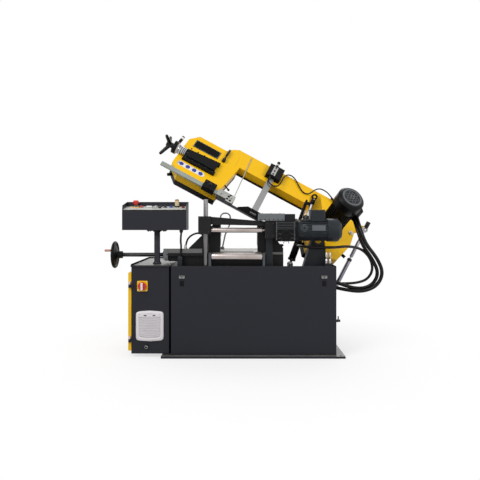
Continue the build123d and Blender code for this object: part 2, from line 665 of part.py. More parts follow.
# Roller bar feeder
LOWER_ROLLER_Z = BED_TOP_Z - LOWER_ROLLER_R
STAND_Y = (FEED_Y - 20, FEED_Y + 25)
HEAD_Y = (FEED_Y - HEAD_HALF_DEPTH, FEED_Y + HEAD_HALF_DEPTH)
STANDS = (
    (ROLLER_LEFT_X - 4 - STAND_THICK, ROLLER_LEFT_X - 4),
    (ROLLER_RIGHT_X + 4, ROLLER_RIGHT_X + 4 + STAND_THICK),
)
RIGHT_BLOCK_Z = (880, 1010)
RAIL_X = (100, 150)


def roller_stands():
    """Guide column, two roller stands and the guide rail of the feeder."""
    solids = [rod_z((DECK_Z, COLUMN_TOP_Z), COLUMN_X, FEED_Y, COLUMN_R)]
    for x in STANDS:
        stand = block(x, STAND_Y, (DECK_Z, BED_TOP_Z))
        solids.append(stand - rod_x(grow(x, 1), FEED_Y, LOWER_ROLLER_Z, ROLLER_PIN_R + RUN_FIT))
    rail_y = (HEAD_Y[1] + SLIDE_GAP, HEAD_Y[1] + 16)
    solids.append(block(RAIL_X, rail_y, (DECK_Z, RIGHT_BLOCK_Z[1])))
    return solids


def roller(x, z, radius, pin_x):
    """Roller with a pin at each end."""
    body = rod_x(x, FEED_Y, z, radius)
    body = chamfer(body.edges(), 2)
    return body + rod_x(pin_x, FEED_Y, z, ROLLER_PIN_R)


def feed_head():
    """Sliding head: column block, tapered beam and right block."""
    left = block(HEAD_LEFT, HEAD_Y, (912, 1043))
    left = fillet(left.edges().filter_by(Axis.Z), 6)
    right = block(HEAD_RIGHT, HEAD_Y, RIGHT_BLOCK_Z)
    beam_x = (HEAD_LEFT[1] - 1, HEAD_RIGHT[0] + 1)
    profile = [(beam_x[0], 982), (beam_x[0], 1040), (beam_x[1], 1005), (beam_x[1], 972)]
    head = left + right + prism_xz(profile, (FEED_Y - 22, FEED_Y + 22))
    head -= rod_z((900, 1060), COLUMN_X, FEED_Y, COLUMN_R + RUN_FIT)
    return head - rod_x(UPPER_PIN_X, FEED_Y, UPPER_ROLLER_Z, ROLLER_PIN_R + RUN_FIT)


UPPER_PIN_X = (HEAD_LEFT[1] - 18, HEAD_RIGHT[0] + 20)
COVER_X = (39, 310)
COVER_Z = (RIGHT_BLOCK_Z[1], 1064)


def feed_cover():
    """Sheet cover over the feed drive, open underneath, with a dark end block."""
    split = COVER_X[1] - 78
    y = (FEED_Y - 52, HEAD_Y[1])
    shell = block((COVER_X[0], split), y, COVER_Z)
    shell = fillet(shell.edges().filter_by(Axis.X).sort_by(Axis.Z)[-2:], 8)
    shell -= block((COVER_X[0] + 3, split - 3), grow(y, -3), (COVER_Z[0] - 1, COVER_Z[1] - 3))
    return shell, block((split, COVER_X[1]), grow(y, -6), (COVER_Z[0], COVER_Z[1] - 4))


GEAR_X = (HEAD_RIGHT[1], HEAD_RIGHT[1] + FEED_GEAR_LENGTH)
MOTOR_X = (GEAR_X[1], GEAR_X[1] + FEED_MOTOR_LENGTH)


def feed_gear_unit():
    """Gear unit between the right block and the feed motor."""
    body = block(GEAR_X, grow((FEED_Y, FEED_Y), 68), (858, COVER_Z[0]))
    body = fillet(body.edges().filter_by(Axis.X), 16)
    return body + rod_x((COVER_X[1] + SLIDE_GAP, GEAR_X[1]), FEED_Y, UPPER_ROLLER_Z, FEED_MOTOR_R + 6)


def feed_motor():
    """Feed motor with ribs, terminal box and fan cover."""
    ribs_end = MOTOR_X[1] - 105
    body = rod_x((MOTOR_X[0], ribs_end), FEED_Y, UPPER_ROLLER_Z, FEED_MOTOR_R - 6)
    for step in range(24):
        fin = block((MOTOR_X[0] + 18, ribs_end), (-2, 2), (FEED_MOTOR_R - 10, FEED_MOTOR_R))
        body += Pos(0, FEED_Y, UPPER_ROLLER_Z) * Rot(step * 15, 0, 0) * fin
    fan = rod_x((ribs_end, MOTOR_X[1]), FEED_Y, UPPER_ROLLER_Z, FEED_MOTOR_R + 5)
    fan = chamfer(fan.edges().filter_by(GeomType.CIRCLE).sort_by(Axis.X)[-1:], 26)
    box = block((422, 533), (FEED_Y - 50, FEED_Y + 50), (UPPER_ROLLER_Z + FEED_MOTOR_R - 14, 1086))
    box = fillet(box.edges().filter_by(Axis.Z), 10)
    return body + fan + box


# Pivot stand
def pivot_stand():
    """Trapezoid stand on the deck with the bearing of the bow pivot."""
    y = (STAND_FRONT_Y, STAND_REAR_Y)
    profile = [(370, DECK_Z), (590, DECK_Z), (PIVOT_X + 50, PIVOT_Z), (PIVOT_X - 50, PIVOT_Z)]
    stand = prism_xz(profile, y) + rod_y(y, PIVOT_X, PIVOT_Z, 50)
    return stand - rod_y(grow(y, 1), PIVOT_X, PIVOT_Z, PIVOT_R + RUN_FIT)


# Bow, drawn on its own plane: u along the beam, v across it, a toward the motor side
IDLE_U = -WHEEL_SPAN


def bow(shape):
    """Lowered place of a shape drawn on the bow plane."""
    return Location(BOW_PLANE) * shape


def raised(shape):
    """Raised place of a shape in the lowered bow."""
    return RAISE * shape


def shifted(points, du):
    """Outline moved along the beam."""
    return [(u + du, v) for u, v in points]


IDLE_BOX = [(-134, -230), (232, -230), (232, -180), (277, 152), (200, BEAM_TOP_V), (158, 330),
            (127, 300), (105, 268), (-156, 268), (-221, 180), (-221, -142)]
DRIVE_BOX = [(-101, -265), (79, -265), (150, -237), (218, -29), (218, 167), (192, 330),
             (150, BEAM_TOP_V), (-225, BEAM_TOP_V), (-225, -36)]
BEAM_U = (IDLE_U + 190, -100)
BLADE_EXITS = ((IDLE_U + 150, IDLE_U + 300), (-235, -100))
BLADE_EXIT_V = (-WHEEL_R - 20, -WHEEL_R + 24)
BLADE_ENTRY_V = (WHEEL_R - 24, WHEEL_R + 20)
BLADE_EXIT_A = (-24, 24)


def inset(points, amount, z):
    """Prism of an outline drawn in by an amount."""
    face = make_face(Polyline(*points, close=True))
    face = offset(face, -amount, kind=Kind.INTERSECTION)
    return Pos(0, 0, z[0]) * extrude(face, z[1] - z[0], dir=(0, 0, 1))


TAIL_ARM_Y = DAMPER_Y + DAMPER_KNOB_R + SWING_GAP
TAIL_ARM = [(790, 1060), (790, 1150), (876, 1176), (908, 1166), (912, 1130), (880, 1110)]
LUG_PLATE = [(315, 1140), (315, 1185), (345, 1200), (385, 1195), (470, 1080), (470, 850), (430, 850)]


def lowered_point(place):
    """XZ place in the lowered bow of a point given for the raised bow."""
    angle = math.radians(RAISE_ANGLE)
    dx = place[0] - PIVOT_X
    dz = place[1] - PIVOT_Z
    turned_x = dx * math.cos(angle) - dz * math.sin(angle)
    turned_z = dx * math.sin(angle) + dz * math.cos(angle)
    return (PIVOT_X + turned_x, PIVOT_Z + turned_z)


def bow_frame():
    """Welded bow: two wheel boxes, C-shaped beam, pivot boss, lift lug and tail arm."""
    a = (BOX_REAR_A, FACE_A)
    idle = shifted(IDLE_BOX, IDLE_U)
    beam_inside = (BEAM_LOW_V + BOX_WALL, BEAM_TOP_V - BOX_WALL)
    frame = prism(idle, a) + prism(DRIVE_BOX, a)
    frame += block(BEAM_U, (BEAM_LOW_V, BEAM_TOP_V), (0, FACE_A))
    hollow = (BOX_REAR_A - 1, FACE_A - FACE_THICK)
    frame -= inset(idle, BOX_WALL, hollow)
    frame -= inset(DRIVE_BOX, BOX_WALL, hollow)
    frame -= block(grow(BEAM_U, -20), beam_inside, (-20, FACE_A - FACE_THICK))
    for exit_u in BLADE_EXITS:
        frame -= block(exit_u, BLADE_EXIT_V, BLADE_EXIT_A)
    axle = AXLE_R + 4
    frame -= block((IDLE_U - axle, IDLE_U + axle + TENSION_TRAVEL), (-axle, axle), (0, FACE_A + 1))
    frame -= upright(AXLE_R + 8, (0, FACE_A + 1))
    behind_face = bow(block((-500, 400), (-600, 600), (-400, FACE_A - 2)))
    boss = rod_y((STAND_REAR_Y + SLIDE_GAP, 130), PIVOT_X, PIVOT_Z, PIVOT_BOSS_R) - behind_face
    lug = prism_xz(LUG_PLATE, (LUG_Y, LUG_Y + 12)) - behind_face
    high = lowered_point(LIFT_HIGH)
    lug += rod_y((LIFT_Y - 15, LUG_Y + 1), *high, LINK_PIN_R)
    lug += rod_y((LIFT_Y + 14, LUG_Y + 1), *high, LINK_PIN_R + 8)
    tail = lowered_point(DAMPER_HIGH)
    arm = prism_xz(TAIL_ARM, (TAIL_ARM_Y, TAIL_ARM_Y + 12))
    arm -= bow(inset(DRIVE_BOX, BOX_WALL / 2, (-200, 300)))
    arm += rod_y((DAMPER_Y - 14, TAIL_ARM_Y + 1), *tail, LINK_PIN_R)
    frame = bow(frame) + boss + lug + arm
    return frame - rod_y((STAND_REAR_Y - 1, STAND_REAR_Y + 56), PIVOT_X, PIVOT_Z, PIVOT_R)


LUG_Y = LIFT_Y + 31


def pivot_shaft():
    """Pivot shaft, held in the bow boss and turning in the stand."""
    return rod_y((STAND_FRONT_Y - 16, STAND_REAR_Y + 56), PIVOT_X, PIVOT_Z, PIVOT_R)


def wheel_cover(outline):
    """Dished cover on the open back of a wheel box."""
    a = (BOX_REAR_A - COVER_DEPTH, BOX_REAR_A)
    cover = inset(outline, 1, a) - inset(outline, BOX_WALL, (a[0] + 4, a[1] + 1))
    for exit_u in BLADE_EXITS:
        for strand_v in (BLADE_EXIT_V, BLADE_ENTRY_V):
            cover -= block(exit_u, strand_v, BLADE_EXIT_A)
    return cover


COVER_KNOB_R = 13
COVER_KNOB_LENGTH = 38
COVER_KNOBS = (((IDLE_U - 189, -167), (-0.715, -0.699)), ((202, -58), (0.95, -0.31)))


def cover_knob(place, outward):
    """Round clamp knob on the edge of a wheel cover."""
    a = BOX_REAR_A - COVER_DEPTH / 2
    tip = [value + COVER_KNOB_LENGTH * step for value, step in zip(place, outward)]
    return between((*place, a), (*tip, a), COVER_KNOB_R)


def wheel_covers():
    """Both wheel covers, each with its clamp knob."""
    covers = [wheel_cover(shifted(IDLE_BOX, IDLE_U)), wheel_cover(DRIVE_BOX)]
    knobs = [cover_knob(*knob) - cover for knob, cover in zip(COVER_KNOBS, covers)]
    return *covers, *knobs


def band_wheel(u, bore_r):
    """Band wheel with a lightened web."""
    width = (-WHEEL_HALF_WIDTH, WHEEL_HALF_WIDTH)
    wheel = upright(WHEEL_R - SLIDE_GAP, width)
    for side in ((-WHEEL_HALF_WIDTH - 1, -6), (6, WHEEL_HALF_WIDTH + 1)):
        wheel -= upright(WHEEL_R - 24, side) - upright(40, side)
    for step in range(5):
        angle = math.radians(step * 72)
        wheel -= Pos(115 * math.cos(angle), 115 * math.sin(angle), 0) * upright(36, width)
    return Pos(u, 0, 0) * (wheel - upright(bore_r, grow(width, 1)))


def drive_wheel():
    """Drive wheel with its shaft."""
    return band_wheel(0, AXLE_R) + upright(AXLE_R, (-WHEEL_HALF_WIDTH - 4, FACE_A + 45))


def blade():
    """Band blade: round both wheels, straight in the beam, turned upright between the guides."""
    a = (-BLADE_WIDTH / 2, BLADE_WIDTH / 2)
    outer = WHEEL_R + BLADE_THICK
    ring = upright(outer, a) - upright(WHEEL_R, grow(a, 1))
    right = ring - block((-2 * outer, 0), (-2 * outer, 2 * outer), grow(a, 1))
    left = Pos(IDLE_U, 0, 0) * (ring - block((0, 2 * outer), (-2 * outer, 2 * outer), grow(a, 1)))
    band = right + left + block((IDLE_U, 0), (WHEEL_R, outer), a)
    middle = -WHEEL_R - BLADE_THICK / 2
    turn = CANT_ANGLE - 90
    stations = [(IDLE_U, 0), (IDLE_U + 3 * TENSION_TRAVEL, 0), (LEFT_GUIDE_U[0] - 60, turn * 0.5),
                (LEFT_GUIDE_U[0] + 60, turn), (RIGHT_GUIDE_U[1] + 20, turn), (-300, turn * 0.5), (0, 0)]
    sections = []
    for u, angle in stations:
        plane = Plane((u, middle, 0), x_dir=(0, 1, 0), z_dir=(1, 0, 0))
        sections.append(plane * Rot(0, 0, angle) * Rectangle(BLADE_THICK, BLADE_WIDTH))
    return band + loft(sections, ruled=True)


GEARBOX_LENGTH = 110
DRIVE_MOTOR_R = 98
DRIVE_MOTOR_END = 530
DRIVE_MOTOR_SHIFT = -15
TERMINAL_GLANDS_A = (335, 375)
TERMINAL_GLAND_R = 18
TERMINAL_TURN = 30


def drive_gearbox():
    """Gearbox of the band drive on the front of the drive box."""
    body = upright(105, (FACE_A, FACE_A + 16)) + upright(88, (FACE_A, FACE_A + GEARBOX_LENGTH))
    return body - upright(AXLE_R + RUN_FIT, (FACE_A - 1, FACE_A + 45 + SLIDE_GAP))


def drive_motor():
    """Band motor with ribs, fan cover and terminal box."""
    start = FACE_A + GEARBOX_LENGTH
    ribs_end = DRIVE_MOTOR_END - 105
    body = upright(DRIVE_MOTOR_R - 8, (start, ribs_end))
    for step in range(30):
        fin = block((DRIVE_MOTOR_R - 12, DRIVE_MOTOR_R), (-2, 2), (start + 18, ribs_end))
        body += Rot(0, 0, step * 12) * fin
    fan = upright(DRIVE_MOTOR_R + 10, (ribs_end, DRIVE_MOTOR_END))
    fan = chamfer(fan.edges().filter_by(GeomType.CIRCLE).sort_by(Axis.Z)[-1:], 20)
    box = block((DRIVE_MOTOR_R - 14, DRIVE_MOTOR_R + 44), (-50, 50), (start + 115, ribs_end - SLIDE_GAP))
    box = fillet(box.edges().filter_by(Axis.X), 10)
    for a in TERMINAL_GLANDS_A:
        box += Pos(DRIVE_MOTOR_R + 7, -61, a) * Rot(90, 0, 0) * Cylinder(TERMINAL_GLAND_R, 22)
    return Pos(DRIVE_MOTOR_SHIFT, 0, 0) * (body + fan + Rot(0, 0, TERMINAL_TURN) * box)


# Blade tension, name plate and lever on the idle box
WAY_U = (IDLE_U - 172, IDLE_U + 125)
WAY_V = 40
WAY_WALL = 25
FLANGE_U = (IDLE_U - 285, IDLE_U - 250)
FLANGE_R = 54
HOUSING_R = 38


STRIP_DISCS = [IDLE_U - 151 + step * 59 for step in range(4)]
TAIL_BOSS = (190, 98)
TAIL_BOLT = (183, 258)


def bow_plates():
    """Tension guideway with its spring housing and switch, the bare name plate, a plain strip and a boss."""
    way_low = -WAY_V - WAY_WALL - 8
    way_outline = [(WAY_U[0], way_low), (WAY_U[1], way_low), (WAY_U[1], WAY_V + 38), (WAY_U[0], WAY_V + 8)]
    way = prism(way_outline, (FACE_A, TENSION_AXIS_A + 10))
    way -= block((WAY_U[0] + 22, WAY_U[1] + 1), (-WAY_V, WAY_V), (FACE_A - 1, TENSION_AXIS_A + 11))
    screw_way = rod_x((FLANGE_U[0] - 1, WAY_U[0] + 30), 0, TENSION_AXIS_A, TENSION_SCREW_R + RUN_FIT)
    housing = rod_x((FLANGE_U[1], WAY_U[0]), 0, TENSION_AXIS_A, HOUSING_R) - screw_way
    housing -= block((IDLE_U - 225, WAY_U[0] + 1), (-40, 40), (0, FACE_A))
    flange = rod_x(FLANGE_U, 0, TENSION_AXIS_A, FLANGE_R) - screw_way
    switch = Pos(sum(FLANGE_U) / 2, 105, TENSION_AXIS_A) * Rot(90, 0, 0) * Cylinder(13, 90)
    plate = block((IDLE_U - 160, IDLE_U + 77), (123, 213), (FACE_A, FACE_A + 3))
    strip = block((IDLE_U - 186, IDLE_U + 60), (-140, -92), (FACE_A, FACE_A + 2))
    strip = fillet(strip.edges().filter_by(Axis.Z), 20)
    for u in STRIP_DISCS:
        strip += Pos(u, -116, 0) * upright(19, (FACE_A, FACE_A + 3))
    boss = Pos(*TAIL_BOSS, 0) * (upright(19, (FACE_A, FACE_A + 12)) + upright(9, (FACE_A, FACE_A + 22)))
    bolt = Pos(*TAIL_BOLT, 0) * upright(7, (FACE_A, FACE_A + 5))
    return way - screw_way, housing, flange, switch - flange, plate, strip, boss, bolt


def tension_slide():
    """Slide in the guideway, carrying the idle wheel axle."""
    slide_v = (-WAY_V + SLIDE_GAP, WAY_V - SLIDE_GAP)
    slide_u = (WAY_U[0] + 22 + SLIDE_GAP, WAY_U[1] - TENSION_TRAVEL - SLIDE_GAP)
    body = block(slide_u, slide_v, (FACE_A + SLIDE_GAP, TENSION_AXIS_A + 20))
    axle = Pos(IDLE_U, 0, 0) * upright(AXLE_R, (-WHEEL_HALF_WIDTH - 8, FACE_A + 1))
    bore = rod_x((slide_u[0] - 1, IDLE_U - 60), 0, TENSION_AXIS_A, TENSION_SCREW_R + RUN_FIT)
    return body + axle - bore


ARM_REACH = 100
ARM_RAKE = 40
ARM_TURN = 105
ARM_ROOT_R = 17
ARM_TIP_R = 13


def tension_handle():
    """Tension screw with a three-arm handle."""
    screw = rod_x((FLANGE_U[0] - 30, IDLE_U - 80), 0, TENSION_AXIS_A, TENSION_SCREW_R)
    hub_u = (FLANGE_U[0] - 62, FLANGE_U[0] - SWING_GAP)
    handle = screw + rod_x(hub_u, 0, TENSION_AXIS_A, 24)
    centre = Vector(sum(hub_u) / 2, 0, TENSION_AXIS_A)
    for step in range(3):
        angle = math.radians(step * 120 + ARM_TURN)
        arm = Vector(-ARM_RAKE, ARM_REACH * math.cos(angle), ARM_REACH * math.sin(angle))
        cone = Cone(ARM_ROOT_R, ARM_TIP_R, arm.length, align=(Align.CENTER, Align.CENTER, Align.MIN))
        tip = centre + arm
        handle += Plane(centre, z_dir=arm) * cone + Pos(tip.X, tip.Y, tip.Z) * Sphere(ARM_TIP_R)
    return handle


LEVER_AT = (IDLE_U + 130, 136)
LEVER_RISE = 126


def clamp_lever():
    """Clamp lever of the idle box with a round boss and a grip."""
    base = FACE_A + SLIDE_GAP
    boss = upright(16, (base, base + 26))
    arm = block((-7, 7), (0, LEVER_RISE), (base + 14, base + 24))
    grip = Pos(0, LEVER_RISE - 30, base + 19) * Rot(90, 0, 0) * Cylinder(10, 80)
    return Pos(*LEVER_AT, 0) * (boss + arm + grip)


# Blade guides
CLAMP_U = (IDLE_U + 96, IDLE_U + 200)
LEFT_GUIDE_U = (IDLE_U + 227, IDLE_U + 375)
RIGHT_GUIDE_U = (-756, -545)
ARM_U = (-648, -595)
BAR_U = (IDLE_U - 283, LEFT_GUIDE_U[1] - 10)
GUIDE_Y = (BLADE_Y - 20, BLADE_Y + 20)
GUIDE_Z = (BED_TOP_Z + 13, BED_TOP_Z + 70)
BRIDGE_Z = (BED_TOP_Z + 46, BED_TOP_Z + 68)


def blade_slot(x):
    """Slot that lets the blade run between the guide faces."""
    y = grow((BLADE_Y, BLADE_Y), BLADE_THICK / 2 + GUIDE_BLADE_GAP)
    return block(grow(x, 1), y, (GUIDE_Z[0] - 1, BLADE_Z + BLADE_WIDTH / 2 + 4))


def guide_bar():
    """Steel bar that carries the left blade guide."""
    bar = block(BAR_U, GUIDE_BAR_V, GUIDE_BAR_A)
    return chamfer(bar.edges().filter_by(Axis.X), 2)


def left_blade_guide():
    """Adjustable left blade guide on the end of the bar."""
    front_a = GUIDE_BAR_A[1] + 18
    head = block(LEFT_GUIDE_U, grow(GUIDE_BAR_V, 14), (GUIDE_BAR_A[0], front_a))
    for du in (30, 118):
        screw = upright(11, (GUIDE_BAR_A[1], front_a + 10))
        head += Pos(LEFT_GUIDE_U[0] + du, sum(GUIDE_BAR_V) / 2, 0) * screw
    x = (DRIVE_WHEEL_X + LEFT_GUIDE_U[1] - 62, DRIVE_WHEEL_X + LEFT_GUIDE_U[1])
    shoe = block(x, GUIDE_Y, GUIDE_Z) - blade_slot(x)
    guide = bow(head) + shoe + block(x, (-50, GUIDE_Y[0] + 1), BRIDGE_Z)
    return guide - bow(block(grow(BAR_U, 1), GUIDE_BAR_V, GUIDE_BAR_A))


def bar_clamp():
    """Clamp of the guide bar with a screw on its face."""
    clamp = block(CLAMP_U, (GUIDE_BAR_V[0] - 15, GUIDE_BAR_V[1] + 23), (FACE_A, GUIDE_BAR_A[1] + 30))
    screw = upright(9, (GUIDE_BAR_A[1] + 8, GUIDE_BAR_A[1] + 36))
    clamp += Pos(sum(CLAMP_U) / 2, GUIDE_BAR_V[1] - 8, 0) * screw
    return clamp - block(grow(CLAMP_U, 1), grow(GUIDE_BAR_V, SLIDE_GAP), grow(GUIDE_BAR_A, SLIDE_GAP))


def bar_lever():
    """Small clamp lever on the inner side of the idle box."""
    start = (IDLE_U + 228, -80, 62)
    end = (IDLE_U + 290, -114, 62)
    lever = between(start, end, 6) + Pos(*end) * Sphere(10)
    return lever - prism(shifted(IDLE_BOX, IDLE_U), (BOX_REAR_A, FACE_A))


ARM_CLAMP_U = (-683, -548)
ARM_CLAMP_V = (208, 350)
CLAMP_KNOB = (-625, 418)


def arm_clamp():
    """Clamp box of the right arm with its lever."""
    box = block(ARM_CLAMP_U, ARM_CLAMP_V, (FACE_A, FACE_A + 48))
    box -= block(ARM_U, (ARM_CLAMP_V[0] - 1, ARM_TOP_V), GUIDE_BAR_A)
    foot = (CLAMP_KNOB[0], ARM_CLAMP_V[1] - 1, FACE_A + 24)
    knob = (*CLAMP_KNOB, FACE_A + 24)
    return box + between(foot, knob, 7) + Pos(*knob) * Sphere(15)


def right_shoe():
    """Right blade guide under the arm, with a tapered nose."""
    x = (DRIVE_WHEEL_X + RIGHT_GUIDE_U[0], DRIVE_WHEEL_X + RIGHT_GUIDE_U[1])
    profile = [(x[0], GUIDE_Z[0]), (x[1], GUIDE_Z[0]), (x[1], GUIDE_Z[1]), (x[0] + 72, GUIDE_Z[1]),
               (x[0], GUIDE_Z[0] + 14)]
    shoe = prism_xz(profile, GUIDE_Y) - blade_slot(x)
    bridge_x = (DRIVE_WHEEL_X + ARM_U[0], DRIVE_WHEEL_X + ARM_U[1])
    shoe += block(bridge_x, (-62, GUIDE_Y[0] + 1), BRIDGE_Z)
    return shoe - bow(right_guide_arm())


def guide_blocks():
    """Fixed pieces of the blade guides on the bow."""
    drawn_flat = (bar_clamp(), bar_lever(), arm_clamp(), coolant_tube(), junction_box())
    return right_shoe(), *[bow(piece) for piece in drawn_flat]


ARM_TOP_V = 320


def right_guide_arm():
    """Steel arm of the right blade guide."""
    return block(ARM_U, (GUIDE_BAR_V[0], ARM_TOP_V), GUIDE_BAR_A)


TUBE_R = 4


def coolant_tube():
    """Thin coolant tube from the beam toward the left guide."""
    start = (IDLE_U + 325, 336, FACE_A + TUBE_R)
    end = (IDLE_U + 360, -150, FACE_A + TUBE_R)
    return between(start, end, TUBE_R)


def junction_box():
    """Small box on the drive box face where the bow cable ends."""
    return block((-52, -16), (325, 352), (FACE_A, FACE_A + 32))


# Lift cylinder and damper
def along(low, high, y):
    """Plane at the low pin with its normal toward the high pin."""
    direction = Vector(high[0] - low[0], 0, high[1] - low[1]).normalized()
    return Plane((low[0], y, low[1]), x_dir=(0, 1, 0), z_dir=direction)


def span(low, high):
    """Distance between two pins."""
    return math.hypot(high[0] - low[0], high[1] - low[1])


def eye(height, radius, bore, width):
    """Round eye across the cylinder axis."""
    return Pos(0, 0, height) * Rot(0, 90, 0) * (Cylinder(radius, width) - Cylinder(bore, width + 2))


def cylinder(plane, tube_r, length, rod_r, width):
    """Cylinder tube with a lower eye, a bore and a head."""
    bore = tube_r * 0.72
    tube = upright(tube_r, (30, length)) - upright(bore, (60, length - 16))
    tube -= upright(rod_r + RUN_FIT, (50, length + 1))
    tube += upright(width / 2 - 1, (14, 40)) + Rot(0, 90, 0) * Cylinder(EYE_R, width)
    tube -= Rot(0, 90, 0) * Cylinder(LINK_PIN_R + RUN_FIT, width + 2)
    return Location(plane) * tube


def piston_rod(plane, tube_r, rod_r, start, end, gap, width):
    """Piston rod with its piston and an open upper eye."""
    piston = tube_r * 0.72 - RUN_FIT
    rod = upright(rod_r, (start, end - LINK_PIN_R - gap - 3)) + upright(piston, (start, start + 20))
    ring = eye(end, LINK_PIN_R + gap + 10, LINK_PIN_R + gap, width)
    return Location(plane) * (rod + ring)


EYE_WIDTH = 24
EYE_R = 22


def brackets():
    """Lift clevis on the deck and damper bracket on the right wall."""
    x, z = LIFT_LOW
    clevis = block((x - 40, x + 40), (LIFT_Y - 34, LIFT_Y + 34), (DECK_Z, DECK_Z + 14))
    for y in ((LIFT_Y - 26, LIFT_Y - 12 - SLIDE_GAP), (LIFT_Y + 12 + SLIDE_GAP, LIFT_Y + 26)):
        clevis += block((x - 22, x + 22), y, (DECK_Z, z)) + rod_y(y, x, z, 22)
    clevis += rod_y((LIFT_Y - 32, LIFT_Y + 32), x, z, LINK_PIN_R)
    x, z = DAMPER_LOW
    bracket = block((BASE_HALF, BASE_HALF + 8), (DAMPER_Y - 40, DAMPER_Y + 40), (z - 50, z + 40))
    for y in ((DAMPER_Y - 26, DAMPER_Y - 12 - SLIDE_GAP), (DAMPER_Y + 12 + SLIDE_GAP, DAMPER_Y + 26)):
        bracket += block((BASE_HALF, x), y, (z - 20, z + 20)) + rod_y(y, x, z, 20)
    bracket += rod_y((DAMPER_Y - 30, DAMPER_Y + 30), x, z, LINK_PIN_R)
    return clevis, bracket


# Coolant pipe on the bed
PIPE_R = 6.5
PIPE_Y = 205
PIPE_ROUTE = [(-250, 770), (-224, 890), (-182, 985), (-180, 1074), (-260, 1074), (-268, 985), (-262, 880)]


def coolant_pipe():
    """Bent steel coolant pipe that stands on the bed, with a foot and a nozzle."""
    points = [(x, PIPE_Y, z) for x, z in PIPE_ROUTE]
    path = FilletPolyline(*points, radius=36)
    start = Plane(points[0], z_dir=Vector(*points[1]) - Vector(*points[0]))
    pipe = sweep(start * Circle(PIPE_R), path=path)
    foot = rod_z((BED_TOP_Z, BED_TOP_Z + 18), PIPE_ROUTE[0][0], PIPE_Y, 18)
    pipe = pipe - block((-400, 0), (PIPE_Y - 50, PIPE_Y + 50), (0, BED_TOP_Z))
    return pipe + foot


# Cables and hoses, each a tube along straight runs and tangent arcs
MOTOR_CABLE_R = 14
MOTOR_CABLE_OUTER = [(823, -125, 1035), (838, -186, 942), (880, -232, 828), (966, -234, 728),
                     (1008, -214, 608), (968, -190, 498), (868, -165, 443), (748, -130, 456),
                     (641, -100, 485)]
MOTOR_CABLE_INNER = [(811, -94, 1012), (826, -156, 919), (862, -192, 808), (942, -190, 708),
                     (980, -176, 600), (943, -158, 510), (855, -136, 468), (745, -116, 494), (641, -100, 532)]
LIFT_HOSE_R = 10.5
LIFT_HOSE = [(364, -65, 815), (364, -258, 812), (562, -252, 800), (700, -226, 812), (815, -198, 790),
             (896, -168, 712), (925, -140, 618), (890, -112, 548), (822, -84, 518), (742, -66, 508),
             (641, -60, 508)]
CONSOLE_CABLE_R = 7.5
CONSOLE_CABLE = [(-542, -272, 918), (-548, -276, 860), (-540, -271, 805), (-550, -272, 740)]
BOW_CABLE_R = 5
BOW_CABLE = [(-640, 216, 108), (-640, 160, 110), (-620, 133, 111), (-589, 123, 112), (-557, 133, 112),
             (-538, 160, 110), (-531, 215, 106), (-530, 290, 102), (-514, 343, 98), (-472, 366, 92),
             (-422, 345, 88), (-375, 295, 85), (-332, 258, 84), (-290, 252, 86), (-258, 282, 95),
             (-240, 334, 104), (-200, 374, 110), (-140, 376, 110), (-95, 356, 106), (-52, 338, 98)]
VISE_HOSE_R = 7
VISE_HOSE = [(-512, -247, 797), (-508, -247, 850), (-478, -250, 894), (-425, -255, 918), (-384, -258, 910),
             (-355, -258, 880), (-341, -258, 835), (-336, -258, 740), (-336, -258, 596)]
CORD_BEND_SHARE = 0.45


def bend_radii(points):
    """Bend radius at each inner point, from the shorter of its two runs."""
    radii = []
    for before, here, after in zip(points, points[1:], points[2:]):
        first = Vector(*here) - Vector(*before)
        second = Vector(*after) - Vector(*here)
        half_turn = math.radians(first.get_angle(second)) / 2
        radii.append(CORD_BEND_SHARE * min(first.length, second.length) / math.tan(half_turn))
    return radii


def cord(name, points, radius):
    """Round cable or hose along hand-chosen points."""
    radii = bend_radii(points)
    print(name, "least bend", round(min(radii) / (2 * radius), 1), "diameters")
    path = FilletPolyline(*points, radius=radii)
    start = Plane(points[0], z_dir=Vector(*points[1]) - Vector(*points[0]))
    return sweep(start * Circle(radius), path=path)


def trimmed(shape, *names):
    """Cord cut flush with the fittings that it comes out of."""
    for name in names:
        for solid in NODES[name].solids():
            shape -= solid
    return shape


def lift_fitting():
    """Hose fitting on the front of the lift cylinder."""
    x, y, z = LIFT_HOSE[0]
    barrel = Location(along(LIFT_LOW, LIFT_HIGH, LIFT_Y)) * upright(BARREL_R, (0, BARREL_LENGTH))
    return rod_y((y, LIFT_Y), x, z, LIFT_HOSE_R + 4) - barrel


